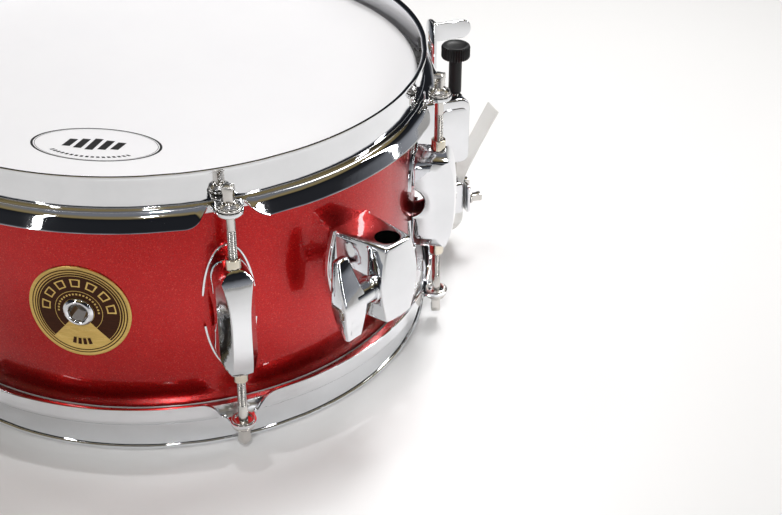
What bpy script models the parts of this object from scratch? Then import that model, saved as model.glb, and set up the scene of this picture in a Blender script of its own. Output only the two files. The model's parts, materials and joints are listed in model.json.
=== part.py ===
"""Snare drum, 12 in wide and 5.5 in deep: a wrapped wood shell between two flanged steel hoops.

Metres, +Z up. The origin is on the drum's axis in the plane of the lower rim, and +X points to the
strainer. Angles run counter-clockwise seen from above.
"""

import math

import bmesh
import bpy
from mathutils import Matrix, Vector

# Driving dimensions of the drum.
HEIGHT = 0.168
MIDDLE = HEIGHT / 2
SHELL_RADIUS = 0.1515
SHELL_WALL = 0.0065
SHELL_DEPTH = 0.140
EDGE_INSET = 0.0012
GAP = 0.0003
RING_STEPS = 60

# The six lug stations, and the fittings between them.
LUG_ANGLES = [math.radians(-90 + 60 * i) for i in range(6)]
STRAINER_ANGLE = 0.0
BUTT_ANGLE = math.pi
RECEIVER_ANGLE = math.radians(-61)
BADGE_ANGLE = math.radians(-119.5)

# Heads.
FILM = 0.0003
FLESH_HOOP_RADII = (0.1524, 0.1570)
FLESH_HOOP_TOP = 0.0190
FLESH_HOOP_HEIGHT = 0.0054

# Hoops, measured down from the rim.
RIM_INNER = 0.1545
RIM_OUTER = 0.1582
HOOP_STEEL = 0.0017
HOOP_DEPTH = 0.0290
# Each skirt's section, from its outer bend round to its inner one: radius, and depth below the flange.
FLARED_SKIRT = [(0.1618, 0.0018), (0.1660, 0.0105), (0.1641, 0.0105), (0.1605, 0.0030)]
STRAIGHT_SKIRT = [(0.1608, 0.0036), (0.1622, 0.0110), (0.1606, 0.0110), (0.1590, 0.0032)]
EAR_DEPTH = 0.0180
EAR_WIDTH = 0.0140
EAR_REACH = 0.1730
SKIRT_END = 0.0085
SKIRT_CORNER = 0.0130

# Tension rods.
ROD_CIRCLE = 0.1665
ROD_RADIUS = 0.0026
ROD_SPAN = 0.0420
ROD_HEAD = 0.0063
ROD_HEAD_TOP = 0.0050
COLLAR_RADIUS = 0.0063
NUT_RADIUS = 0.0041
NUT_LENGTH = 0.0160
NUT_TOP = 0.1220

# Lugs: a barrel-shaped casing on an oval foot, arched over a round notch.
LUG_HALF_WIDTH = 0.0103
LUG_HALF_HEIGHT = 0.0330
LUG_REACH = 0.1772
FOOT_HALF_WIDTH = 0.0148
FOOT_HALF_HEIGHT = 0.0385
FOOT_THICKNESS = 0.0026
NOTCH_RADIUS = 0.0105

# Badge and vent.
BADGE_RADIUS = 0.0275
BADGE_THICKNESS = 0.0006
BADGE_HEIGHT = 0.0852
VENT_RADIUS = 0.0060
GROMMET_BORE = 0.0044
GROMMET_RADIUS = 0.0082

# Rod receiver with its wing bolt.
RECEIVER_TOP = 0.1096
RECEIVER_BOTTOM = 0.0630
RECEIVER_HOLE = 0.0069
RECEIVER_HOLE_REACH = 0.1780
WING_AXIS_REACH = 0.1780
WING_AXIS_HEIGHT = 0.0840
WING_HALF_LENGTH = 0.0238
WING_THICKNESS = 0.0080

# Strainer.
TOWER_REACH = 0.1957
TOWER_TOP = 0.1060
TOWER_HALF_WIDTH = 0.0095
KNOB_REACH = 0.1888
KNOB_RADIUS = 0.0090
KNOB_TOP = 0.1392
KNOB_BOTTOM = 0.1305
STEM_RADIUS = 0.0041
SCREW_RADIUS = 0.0024
LEVER_PLANE = 0.1724
LEVER_THICKNESS = 0.0020
LEVER_AXIS_HEIGHT = 0.0920
LEVER_TOP = 0.1590
CLAMP_PLANE = 0.1930

# Snare wires and their straps.
WIRE_COUNT = 20
WIRE_PITCH = 0.0024
WIRE_RADIUS = 0.0009
WIRE_HALF_LENGTH = 0.1260
WIRE_HEIGHT = 0.0120
STRAP_WIDTH = 0.0160
STRAP_THICKNESS = 0.0007
STRAP_HEIGHT = 0.0106
STRAP_BEND = 0.0090
BUTT_PLANE = 0.1670
GATE_WIDTH = 0.0560

LACQUER_RED = (0.33, 0.006, 0.012)
CHROME = (0.78, 0.79, 0.81)
STEEL = (0.62, 0.60, 0.57)

objects = bpy.data.objects
for leftover in list(objects):
    objects.remove(leftover, do_unlink=True)

drum = bpy.data.collections.new("snare_drum")
cutters = bpy.data.collections.new("cutters")
for collection in (drum, cutters):
    bpy.context.scene.collection.children.link(collection)


def material(name, colour, roughness, metallic=0.0):
    made = bpy.data.materials.new(name)
    made.use_nodes = True
    shader = made.node_tree.nodes["Principled BSDF"]
    shader.inputs["Base Color"].default_value = (*colour, 1.0)
    shader.inputs["Roughness"].default_value = roughness
    shader.inputs["Metallic"].default_value = metallic
    return made


MATERIALS = {
    "red_wrap": material("red_wrap", LACQUER_RED, 0.12, 0.35),
    "chrome": material("chrome", CHROME, 0.06, 1.0),
    "steel": material("steel", STEEL, 0.28, 1.0),
    "head_film": material("head_film", (0.85, 0.85, 0.86), 0.45),
    "clear_film": material("clear_film", (0.80, 0.81, 0.80), 0.20),
    "badge_gold": material("badge_gold", (0.55, 0.40, 0.13), 0.25, 1.0),
    "black_plastic": material("black_plastic", (0.012, 0.012, 0.013), 0.45),
    "strap_plastic": material("strap_plastic", (0.82, 0.82, 0.80), 0.35),
}


def add(name, mesh, slot, collection=drum):
    """An object of this mesh, with its material, in the drum's collection."""
    obj = objects.new(name, mesh)
    if not mesh.materials:
        mesh.materials.append(MATERIALS[slot])
    collection.objects.link(obj)
    mesh.shade_smooth()
    mesh.set_sharp_from_angle(angle=math.radians(35))
    return obj


def helper(name, mesh):
    """A hidden object that a Boolean uses."""
    obj = objects.new(name, mesh)
    obj.hide_render = True
    obj.display_type = "WIRE"
    cutters.objects.link(obj)
    return obj


def mesh_of(bm, name):
    bmesh.ops.recalc_face_normals(bm, faces=bm.faces)
    mesh = bpy.data.meshes.new(name)
    bm.to_mesh(mesh)
    bm.free()
    return mesh


def baked(obj):
    """The object's mesh with its modifiers and its matrix applied. The object is removed."""
    bpy.context.view_layer.update()
    graph = bpy.context.evaluated_depsgraph_get()
    mesh = bpy.data.meshes.new_from_object(obj.evaluated_get(graph))
    mesh.transform(obj.matrix_world)
    bm = bmesh.new()
    bm.from_mesh(mesh)
    bmesh.ops.remove_doubles(bm, verts=bm.verts, dist=0.000005)
    bm.to_mesh(mesh)
    bm.free()
    objects.remove(obj, do_unlink=True)
    return mesh


def boolean(obj, tool, operation):
    modifier = obj.modifiers.new(f"{operation.lower()}_{tool.name}", "BOOLEAN")
    modifier.object = tool
    modifier.operation = operation
    modifier.solver = "EXACT"
    return obj


def revolved(name, profile, steps, closed=False):
    """A hidden object that turns a profile of (radius, height) points, outer side downwards, about Z."""
    mesh = bpy.data.meshes.new(name)
    edges = [(i, i + 1) for i in range(len(profile) - 1)]
    if closed:
        edges.append((len(profile) - 1, 0))
    mesh.from_pydata([(radius, 0, height) for radius, height in profile], edges, [])
    obj = helper(name, mesh)
    screw = obj.modifiers.new("turn", "SCREW")
    screw.axis = "Z"
    screw.angle = math.tau
    screw.steps = steps
    screw.render_steps = steps
    screw.use_merge_vertices = True
    screw.merge_threshold = 0.00001
    screw.use_smooth_shade = True
    return obj


def box(bm, low, high):
    """Adds a box between two corners."""
    low = Vector(low)
    high = Vector(high)
    size = Matrix.Diagonal((*(high - low), 1.0))
    return bmesh.ops.create_cube(bm, size=1.0, matrix=Matrix.Translation((low + high) / 2) @ size)


def box_mesh(name, low, high, bevel=0.0, segments=2):
    bm = bmesh.new()
    box(bm, low, high)
    if bevel:
        bmesh.ops.bevel(
            bm, geom=bm.edges, offset=bevel, segments=segments, profile=0.5, affect="EDGES"
        )
    return mesh_of(bm, name)


def cylinder(bm, start, end, radius, sides=16):
    """Adds a capped cylinder between two points."""
    start = Vector(start)
    run = Vector(end) - start
    turn = run.to_track_quat("Z", "Y").to_matrix().to_4x4()
    centre = Matrix.Translation(start + run / 2)
    bmesh.ops.create_cone(
        bm,
        cap_ends=True,
        segments=sides,
        radius1=radius,
        radius2=radius,
        depth=run.length,
        matrix=centre @ turn,
    )


def cylinder_mesh(name, start, end, radius, sides=16):
    bm = bmesh.new()
    cylinder(bm, start, end, radius, sides)
    return mesh_of(bm, name)


def plate(name, outline, thickness, matrix):
    """A flat plate from a 2D outline, with its middle plane moved by the matrix."""
    curve = bpy.data.curves.new(name, "CURVE")
    curve.dimensions = "2D"
    curve.fill_mode = "BOTH"
    curve.extrude = thickness / 2
    spline = curve.splines.new("POLY")
    spline.points.add(len(outline) - 1)
    for point, (u, v) in zip(spline.points, outline):
        point.co = (u, v, 0, 1)
    spline.use_cyclic_u = True
    obj = objects.new(name, curve)
    drum.objects.link(obj)
    mesh = baked(obj)
    mesh.transform(matrix)
    bm = bmesh.new()
    bm.from_mesh(mesh)
    return mesh_of(bm, name)


def loft(name, rings):
    """A closed solid through rings of points that all have the same count."""
    bm = bmesh.new()
    rows = [[bm.verts.new(point) for point in ring] for ring in rings]
    count = len(rows[0])
    for lower, upper in zip(rows, rows[1:]):
        for i in range(count):
            j = (i + 1) % count
            bm.faces.new((lower[i], lower[j], upper[j], upper[i]))
    bm.faces.new(rows[0][::-1])
    bm.faces.new(rows[-1])
    return mesh_of(bm, name)


def arc(centre, radius, start, end, count):
    """Points along an arc in 2D, angles in degrees."""
    steps = [math.radians(start + (end - start) * i / (count - 1)) for i in range(count)]
    return [(centre[0] + radius * math.cos(a), centre[1] + radius * math.sin(a)) for a in steps]


# Planes for plates: a profile of (x, z) points, and one of (y, z) points.
FACING_Y = Matrix.Rotation(math.pi / 2, 4, "X")
FACING_X = Matrix(((0, 0, 1, 0), (1, 0, 0, 0), (0, 1, 0, 0), (0, 0, 0, 1)))
UPSIDE_DOWN = Matrix(((1, 0, 0, 0), (0, -1, 0, 0), (0, 0, -1, HEIGHT), (0, 0, 0, 1)))


def station(angle, reach, height):
    """Places a piece whose own axes point outwards, sideways and up."""
    turn = Matrix.Rotation(angle, 4, "Z")
    return Matrix.Translation(turn @ Vector((reach, 0, height))) @ turn


def placed(obj, matrix):
    obj.location = matrix.to_translation()
    obj.rotation_euler = matrix.to_euler()
    return obj


def make_shell():
    top = MIDDLE + SHELL_DEPTH / 2
    bottom = MIDDLE - SHELL_DEPTH / 2
    inner = SHELL_RADIUS - SHELL_WALL
    edge = SHELL_RADIUS - EDGE_INSET
    bevel = edge - inner
    profile = [
        (edge, top),
        (SHELL_RADIUS, top - EDGE_INSET),
        (SHELL_RADIUS, bottom + EDGE_INSET),
        (edge, bottom),
        (inner, bottom + bevel),
        (inner, top - bevel),
    ]
    turned = baked(revolved("shell_turned", profile, RING_STEPS, closed=True))
    shell = add("shell", turned, "red_wrap")
    hole = station(BADGE_ANGLE, 0, BADGE_HEIGHT)
    cutter = cylinder_mesh("vent_hole", (0.130, 0, 0), (0.165, 0, 0), VENT_RADIUS, 12)
    boolean(shell, placed(helper("vent_hole", cutter), hole), "DIFFERENCE")


def make_head(name, slot, flip):
    """A film pulled over the bearing edge, and the flesh hoop that holds its rim."""
    top = MIDDLE + SHELL_DEPTH / 2
    rim = SHELL_RADIUS + GAP
    hem = HEIGHT - FLESH_HOOP_TOP - FLESH_HOOP_HEIGHT
    profile = [
        (0, top + GAP + FILM),
        (0.1507, top + GAP + FILM),
        (rim + FILM, top - 0.0010),
        (rim + FILM, hem),
        (rim, hem),
        (rim, top - 0.0011),
        (0.1505, top + GAP),
        (0, top + GAP),
    ]
    film = baked(revolved(f"{name}_turned", profile, RING_STEPS))
    low, high = FLESH_HOOP_RADII
    crown = HEIGHT - FLESH_HOOP_TOP
    base = crown - FLESH_HOOP_HEIGHT
    ring = [(high, crown), (high, base), (low, base), (low, crown)]
    hoop = baked(revolved(f"{name}_ring_turned", ring, RING_STEPS, closed=True))
    if flip:
        film.transform(UPSIDE_DOWN)
        hoop.transform(UPSIDE_DOWN)
    add(name, film, slot)
    add(f"{name}_flesh_hoop", hoop, "steel")


def hoop_profile(skirt):
    """The flanged section: a lip at the rim, an upright wall, a step over the flesh hoop, and a skirt."""
    wall = RIM_INNER + HOOP_STEEL
    shoulder = HEIGHT - EAR_DEPTH
    return [
        (RIM_INNER + 0.0005, HEIGHT),
        (RIM_OUTER - 0.0008, HEIGHT),
        (RIM_OUTER, HEIGHT - 0.0010),
        (wall, HEIGHT - 0.0028),
        (wall, shoulder + 0.0040),
        (wall + 0.0012, shoulder + 0.0016),
        (wall + 0.0034, shoulder + 0.0002),
        *[(radius, shoulder - depth) for radius, depth in skirt],
        (wall + 0.0020, shoulder - 0.0012),
        (wall - 0.0004, shoulder + 0.0008),
        (RIM_INNER, shoulder + 0.0036),
        (RIM_INNER, HEIGHT - 0.0006),
    ]


def skirt_gap(name, top):
    """A cutter that ends the skirt on both sides of an ear, wider towards the skirt's free edge."""
    foot = HEIGHT - HOOP_DEPTH - 0.002
    corner = top - 0.0015
    wide = SKIRT_END + SKIRT_CORNER
    half = [(SKIRT_END, top), (SKIRT_END, corner), (wide, foot)]
    outline = half + [(-side, up) for side, up in reversed(half)]
    return plate(name, outline, 0.0103, Matrix.Translation((0.16285, 0, 0)) @ FACING_X)


def make_hoop(name, flip):
    """The hoop with its six ears. The snare side one also has two gates for the straps."""
    profile = hoop_profile(STRAIGHT_SKIRT if flip else FLARED_SKIRT)
    mesh = baked(revolved(f"{name}_turned", profile, RING_STEPS, closed=True))
    shoulder = HEIGHT - EAR_DEPTH
    under = shoulder - 0.0017
    ears = bmesh.new()
    clearance = bmesh.new()
    holes = bmesh.new()
    half = EAR_WIDTH / 2
    gap = skirt_gap(f"{name}_gap", under + 0.0002)
    for angle in LUG_ANGLES:
        before = [set(bm.verts) for bm in (ears, clearance, holes)]
        box(ears, (0.1570, -half, under), (EAR_REACH, half, shoulder))
        edges = [
            edge
            for edge in ears.edges
            if edge.verts[0] not in before[0]
            and min(vert.co.x for vert in edge.verts) > 0.17
            and abs(edge.verts[0].co.z - edge.verts[1].co.z) > 0.001
        ]
        bmesh.ops.bevel(ears, geom=edges, offset=0.0064, segments=4, profile=0.5, affect="EDGES")
        clearance.from_mesh(gap)
        low = (ROD_CIRCLE, 0, under - 0.002)
        cylinder(holes, low, (ROD_CIRCLE, 0, shoulder + 0.002), 0.0036, 12)
        turn = Matrix.Rotation(angle, 4, "Z")
        for bm, old in zip((ears, clearance, holes), before):
            made = [vert for vert in bm.verts if vert not in old]
            bmesh.ops.transform(bm, matrix=turn, verts=made)
    if flip:
        low = HEIGHT - 0.0165
        high = HEIGHT - 0.0036
        for side in (-1, 1):
            ends = sorted((side * 0.150, side * 0.170))
            box(clearance, (ends[0], -GATE_WIDTH / 2, low), (ends[1], GATE_WIDTH / 2, high))
    made = (("ears", ears), ("room", clearance), ("holes", holes))
    pieces = [mesh_of(bm, f"{name}_{what}") for what, bm in made]
    if flip:
        for piece in (mesh, *pieces):
            piece.transform(UPSIDE_DOWN)
    hoop = add(name, mesh, "chrome")
    boolean(hoop, helper(f"{name}_room", pieces[1]), "DIFFERENCE")
    boolean(hoop, helper(f"{name}_ears", pieces[0]), "UNION")
    boolean(hoop, helper(f"{name}_holes", pieces[2]), "DIFFERENCE")


def stadium(half_width, half_height, count):
    """A closed outline with round ends, as (sideways, up) points."""
    straight = half_height - half_width
    upper = arc((0, straight), half_width, 0, 180, count)
    lower = arc((0, -straight), half_width, 180, 360, count)
    return upper + lower


def lug_mesh():
    """The casing in its own frame: outwards from the drum's axis, and up from the middle of the shell."""
    back = SHELL_RADIUS + GAP
    sections = [
        (back, 0.0, 0.0),
        (0.1700, 0.0, 0.0),
        (0.1738, 0.0014, 0.0030),
        (0.1762, 0.0038, 0.0110),
        (LUG_REACH, 0.0062, 0.0200),
    ]
    rings = []
    for reach, narrower, shorter in sections:
        outline = stadium(LUG_HALF_WIDTH - narrower, LUG_HALF_HEIGHT - shorter, 5)
        rings.append([(reach, side, up) for side, up in outline])
    casing = helper("lug_casing", loft("lug_casing", rings))
    foot = bmesh.new()
    matrix = Matrix.Translation((back + FOOT_THICKNESS / 2, 0, 0)) @ FACING_X
    matrix = matrix @ Matrix.Diagonal((FOOT_HALF_WIDTH, FOOT_HALF_HEIGHT, 1, 1))
    bmesh.ops.create_cone(
        foot, cap_ends=True, segments=24, radius1=1, radius2=0.94, depth=FOOT_THICKNESS, matrix=matrix
    )
    boolean(casing, helper("lug_foot", mesh_of(foot, "lug_foot")), "UNION")
    notch = cylinder_mesh("lug_notch", (0.1500, -0.03, 0), (0.1500, 0.03, 0), NOTCH_RADIUS, 16)
    boolean(casing, helper("lug_notch", notch), "DIFFERENCE")
    pockets = bmesh.new()
    for end in (-1, 1):
        depth = end * (NUT_TOP - NUT_LENGTH - MIDDLE - 0.006)
        cylinder(pockets, (ROD_CIRCLE, 0, depth), (ROD_CIRCLE, 0, end * 0.045), NUT_RADIUS + GAP, 12)
    boolean(casing, helper("lug_pockets", mesh_of(pockets, "lug_pockets")), "DIFFERENCE")
    return baked(casing)


def rod_mesh():
    """A tension rod hanging from its ear: square head, collar, washer and shank, from the ear's top face."""
    washer = GAP
    head_top = EAR_DEPTH - ROD_HEAD_TOP
    profile = [
        (0, 0.0040),
        (0.0036, 0.0040),
        (COLLAR_RADIUS, washer + 0.0016),
        (COLLAR_RADIUS, washer),
        (ROD_RADIUS, washer),
        (ROD_RADIUS, -ROD_SPAN),
        (0, -ROD_SPAN),
    ]
    rod = revolved("rod_turned", profile, 10)
    half = ROD_HEAD / 2
    head = box_mesh("rod_head", (-half, -half, 0.0030), (half, half, head_top), 0.0006, 1)
    boolean(rod, helper("rod_head", head), "UNION")
    return baked(rod)


def nut_mesh():
    inner = ROD_RADIUS + GAP
    profile = [(NUT_RADIUS, 0), (NUT_RADIUS, -NUT_LENGTH), (inner, -NUT_LENGTH), (inner, 0)]
    return baked(revolved("nut_turned", profile, 10, closed=True))


def make_lugs():
    casing = lug_mesh()
    rod = rod_mesh()
    nut = nut_mesh()
    over = UPSIDE_DOWN.to_3x3().to_4x4()
    for index, angle in enumerate(LUG_ANGLES, start=1):
        placed(add(f"lug_{index}", casing, "chrome"), station(angle, 0, MIDDLE))
        upper = station(angle, ROD_CIRCLE, HEIGHT - EAR_DEPTH)
        lower = station(angle, ROD_CIRCLE, EAR_DEPTH) @ over
        placed(add(f"batter_rod_{index}", rod, "steel"), upper)
        placed(add(f"snare_side_rod_{index}", rod, "steel"), lower)
        upper = station(angle, ROD_CIRCLE, NUT_TOP)
        lower = station(angle, ROD_CIRCLE, HEIGHT - NUT_TOP) @ over
        placed(add(f"batter_nut_{index}", nut, "steel"), upper)
        placed(add(f"snare_side_nut_{index}", nut, "steel"), lower)


def make_badge():
    """A thin round plate bent to the shell, with the vent's grommet through its middle."""
    matrix = station(BADGE_ANGLE, 0, BADGE_HEIGHT)
    back = SHELL_RADIUS + GAP
    low = math.asin(-BADGE_RADIUS / SHELL_RADIUS)
    steps = 12
    sheet = bmesh.new()
    rows = []
    for radius in (back, back + BADGE_THICKNESS):
        for height in (-0.03, 0.03):
            angles = [low * 1.2 * (1 - 2 * i / steps) for i in range(steps + 1)]
            points = [(radius * math.cos(a), radius * math.sin(a), height) for a in angles]
            rows.append([sheet.verts.new(point) for point in points])
    inner_low, inner_high, outer_low, outer_high = rows
    for i in range(steps):
        sheet.faces.new((inner_low[i], inner_low[i + 1], inner_high[i + 1], inner_high[i]))
        sheet.faces.new((outer_low[i], outer_high[i], outer_high[i + 1], outer_low[i + 1]))
        sheet.faces.new((inner_high[i], inner_high[i + 1], outer_high[i + 1], outer_high[i]))
        sheet.faces.new((inner_low[i], outer_low[i], outer_low[i + 1], inner_low[i + 1]))
    for i in (0, steps):
        sheet.faces.new((inner_low[i], inner_high[i], outer_high[i], outer_low[i]))
    badge = add("badge", mesh_of(sheet, "badge"), "badge_gold")
    disc = cylinder_mesh("badge_disc", (0.14, 0, 0), (0.16, 0, 0), BADGE_RADIUS, 32)
    bore = cylinder_mesh("badge_bore", (0.14, 0, 0), (0.16, 0, 0), GROMMET_BORE + 0.0018, 12)
    boolean(badge, placed(helper("badge_disc", disc), matrix), "INTERSECT")
    boolean(badge, placed(helper("badge_bore", bore), matrix), "DIFFERENCE")
    placed(badge, matrix)
    face = back + BADGE_THICKNESS + 0.0008
    barrel = GROMMET_BORE + 0.0010
    profile = [
        (GROMMET_RADIUS - 0.0020, face + 0.0014),
        (GROMMET_RADIUS, face),
        (barrel, face),
        (barrel, SHELL_RADIUS - SHELL_WALL - 0.001),
        (GROMMET_BORE, SHELL_RADIUS - SHELL_WALL - 0.001),
        (GROMMET_BORE, face + 0.0010),
    ]
    grommet = baked(revolved("grommet_turned", profile, 12, closed=True))
    grommet.transform(Matrix.Rotation(math.pi / 2, 4, "Y"))
    placed(add("vent_grommet", grommet, "chrome"), matrix)


def make_receiver():
    """The rod receiver: a tapering block on an oval foot, bored from top to bottom."""
    matrix = station(RECEIVER_ANGLE, 0, 0)
    back = SHELL_RADIUS + GAP
    sections = [
        (RECEIVER_TOP, 0.1864, 0.0096, 0.0136),
        (0.0990, 0.1870, 0.0126, 0.0148),
        (0.0863, 0.1872, 0.0142, 0.0154),
        (0.0736, 0.1870, 0.0126, 0.0148),
        (RECEIVER_BOTTOM, 0.1864, 0.0096, 0.0136),
    ]
    rings = []
    for height, front, half_front, half_back in sections:
        corner = 0.0016
        outline = [
            (back, half_back),
            (back, -half_back),
            (front - corner, -half_front - 0.0002),
            (front, -half_front + corner),
            (front + 0.0012, 0),
            (front, half_front - corner),
            (front - corner, half_front + 0.0002),
        ]
        rings.append([(x, y, height) for x, y in outline])
    receiver = add("rod_receiver", loft("rod_receiver", rings), "chrome")
    foot = bmesh.new()
    middle = 0.5 * (RECEIVER_TOP + RECEIVER_BOTTOM)
    oval = Matrix.Translation((back + 0.0013, 0, middle)) @ FACING_X
    oval = oval @ Matrix.Diagonal((0.0190, 0.0305, 1, 1))
    bmesh.ops.create_cone(
        foot, cap_ends=True, segments=24, radius1=1, radius2=0.95, depth=0.0026, matrix=oval
    )
    sole = placed(helper("receiver_foot", mesh_of(foot, "receiver_foot")), matrix)
    boolean(receiver, sole, "UNION")
    inside = (WING_AXIS_REACH, -0.0040, WING_AXIS_HEIGHT)
    boss = cylinder_mesh("receiver_boss", inside, (WING_AXIS_REACH, -0.0175, WING_AXIS_HEIGHT), 0.0075)
    boolean(receiver, placed(helper("receiver_boss", boss), matrix), "UNION")
    holes = bmesh.new()
    reach = RECEIVER_HOLE_REACH
    cylinder(holes, (reach, 0, 0.045), (reach, 0, 0.125), RECEIVER_HOLE, 24)
    inside = (WING_AXIS_REACH, -0.0090, WING_AXIS_HEIGHT)
    cylinder(holes, inside, (WING_AXIS_REACH, -0.03, WING_AXIS_HEIGHT), 0.0034, 12)
    bores = placed(helper("receiver_holes", mesh_of(holes, "receiver_holes")), matrix)
    boolean(receiver, bores, "DIFFERENCE")
    placed(receiver, matrix)


def make_wing_bolt():
    """A bolt with a two-armed grip. Its axis runs sideways, across the receiver's bore."""
    outline = [
        (-0.0222, 0.0040),
        (-0.0250, 0.0095),
        (-0.0286, WING_HALF_LENGTH),
        (-0.0378, WING_HALF_LENGTH),
        (-0.0391, 0.0030),
        (-0.0390, -0.0030),
        (-0.0366, -0.0150),
        (-0.0338, -WING_HALF_LENGTH),
        (-0.0226, -WING_HALF_LENGTH),
        (-0.0218, -0.0040),
    ]
    grip = helper("wing_grip", plate("wing_grip", outline, WING_THICKNESS, FACING_X))
    bm = bmesh.new()
    cylinder(bm, (0, -0.0180, 0), (0, -0.0300, 0), 0.0060, 16)
    boolean(grip, helper("wing_hub", mesh_of(bm, "wing_hub")), "UNION")
    shaft = cylinder_mesh("wing_shaft", (0, -0.0094, 0), (0, -0.0200, 0), 0.0030, 12)
    boolean(grip, helper("wing_shaft", shaft), "UNION")
    bolt = add("wing_bolt", baked(grip), "chrome")
    placed(bolt, station(RECEIVER_ANGLE, WING_AXIS_REACH, WING_AXIS_HEIGHT))


def make_strainer():
    """The fixed body: a foot and an inner block on the shell, and the tower that guides the screw."""
    back = SHELL_RADIUS + GAP
    slot_inner = LEVER_PLANE - LEVER_THICKNESS / 2 - GAP
    slot_outer = LEVER_PLANE + LEVER_THICKNESS / 2 + GAP
    half = TOWER_HALF_WIDTH
    wide = TOWER_HALF_WIDTH + 0.0005
    foot = box_mesh("strainer_foot", (back, -0.0170, 0.036), (back + 0.0028, 0.0170, 0.114), 0.001, 1)
    base = add("strainer_base", foot, "chrome")
    low = (back + 0.0010, -0.0125, 0.0600)
    block = box_mesh("strainer_block", low, (slot_inner, 0.0125, 0.1080), 0.0010, 1)
    bridge = box_mesh("strainer_bridge", (0.1600, -half, 0.0620), (0.1850, half, 0.0800))
    low = (slot_outer, -wide, 0.0610)
    tower = box_mesh("strainer_tower", low, (TOWER_REACH, wide, TOWER_TOP), 0.0032, 2)
    for name, mesh in (("strainer_block", block), ("strainer_bridge", bridge), ("strainer_tower", tower)):
        boolean(base, helper(name, mesh), "UNION")
    bore = cylinder_mesh("tower_bore", (KNOB_REACH, 0, 0.05), (KNOB_REACH, 0, 0.12), STEM_RADIUS + 0.0007, 16)
    boolean(base, helper("tower_bore", bore), "DIFFERENCE")
    low = (0.1640, 0, LEVER_AXIS_HEIGHT)
    pivot = cylinder_mesh("pivot_hole", low, (0.1740, 0, LEVER_AXIS_HEIGHT), 0.0027, 12)
    boolean(base, helper("pivot_hole", pivot), "DIFFERENCE")


def make_lever():
    """A flat lever that swings sideways, with a finger tab turned outwards at its top."""
    axis = LEVER_AXIS_HEIGHT
    foot = arc((0, 0), 0.0085, 200, 340, 6)
    top = LEVER_TOP - axis
    end = [(0.0070, top - 0.003), (0.0040, top), (-0.0070, top)]
    outline = [*foot, (0.0070, 0.022), *end, (-0.0070, 0.022)]
    strip = helper("lever_strip", plate("lever_strip", outline, LEVER_THICKNESS, FACING_X))
    middle = top - 0.0060
    tab_end = arc((0.0175, middle), 0.0058, -90, 90, 6)
    root = 0.0001 - LEVER_THICKNESS / 2
    tab_outline = [(root, middle - 0.0058), *tab_end, (root, middle + 0.0058)]
    edge = Matrix.Translation((0, -0.0060, 0)) @ FACING_Y
    tab = plate("lever_tab", tab_outline, LEVER_THICKNESS, edge)
    boolean(strip, helper("lever_tab", tab), "UNION")
    hole = cylinder_mesh("lever_hole", (-0.01, 0, 0), (0.01, 0, 0), 0.0026, 12)
    boolean(strip, helper("lever_hole", hole), "DIFFERENCE")
    placed(add("throw_lever", baked(strip), "chrome"), station(STRAINER_ANGLE, LEVER_PLANE, axis))
    pin = cylinder_mesh("lever_pin", (-0.0078, 0, 0), (0.0014, 0, 0), 0.0022, 12)
    placed(add("lever_pin", pin, "steel"), station(STRAINER_ANGLE, LEVER_PLANE, axis))


def make_adjuster():
    """The knob and its screw, the collar that lifts them, and the carriage that clamps the strap."""
    axis = station(STRAINER_ANGLE, KNOB_REACH, 0)
    profile = [
        (0, KNOB_TOP - 0.0010),
        (KNOB_RADIUS - 0.0022, KNOB_TOP - 0.0010),
        (KNOB_RADIUS - 0.0012, KNOB_TOP),
        (KNOB_RADIUS, KNOB_TOP - 0.0012),
        (KNOB_RADIUS, KNOB_BOTTOM + 0.0008),
        (KNOB_RADIUS - 0.0010, KNOB_BOTTOM),
        (STEM_RADIUS, KNOB_BOTTOM),
        (STEM_RADIUS, TOWER_TOP + 0.0012),
        (STEM_RADIUS - 0.0010, TOWER_TOP + GAP),
        (0, TOWER_TOP + GAP),
    ]
    placed(add("adjust_knob", baked(revolved("knob_turned", profile, 20)), "black_plastic"), axis)
    screw = cylinder_mesh("adjust_screw", (0, 0, 0.0300), (0, 0, TOWER_TOP), SCREW_RADIUS, 10)
    placed(add("adjust_screw", screw, "steel"), axis)
    inner = SCREW_RADIUS + GAP
    ring = [(STEM_RADIUS, 0.098), (STEM_RADIUS, 0.090), (inner, 0.090), (inner, 0.098)]
    placed(add("lift_collar", baked(revolved("collar_turned", ring, 12, closed=True)), "steel"), axis)
    face = CLAMP_PLANE - STRAP_THICKNESS / 2 - GAP
    block = box_mesh("strap_carriage", (0.1800, -0.0110, 0.0235), (face, 0.0110, 0.0460), 0.0008, 1)
    carriage = add("strap_carriage", block, "chrome")
    low = (KNOB_REACH, 0, 0.0280)
    thread = cylinder_mesh("carriage_thread", low, (KNOB_REACH, 0, 0.0600), SCREW_RADIUS + GAP, 12)
    boolean(carriage, helper("carriage_thread", thread), "DIFFERENCE")


def ribbon(path, thickness):
    """The outline of a strip of even thickness along a path of 2D points."""
    sides = ([], [])
    for i, point in enumerate(path):
        before = Vector(path[max(i - 1, 0)])
        after = Vector(path[min(i + 1, len(path) - 1)])
        along = (after - before).normalized()
        across = Vector((-along.y, along.x)) * thickness / 2
        sides[0].append(tuple(Vector(point) + across))
        sides[1].append(tuple(Vector(point) - across))
    return sides[0] + sides[1][::-1]


def make_strap(name, path, angle):
    mesh = plate(name, ribbon(path, STRAP_THICKNESS), STRAP_WIDTH, FACING_Y)
    placed(add(name, mesh, "strap_plastic"), station(angle, 0, 0))


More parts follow.
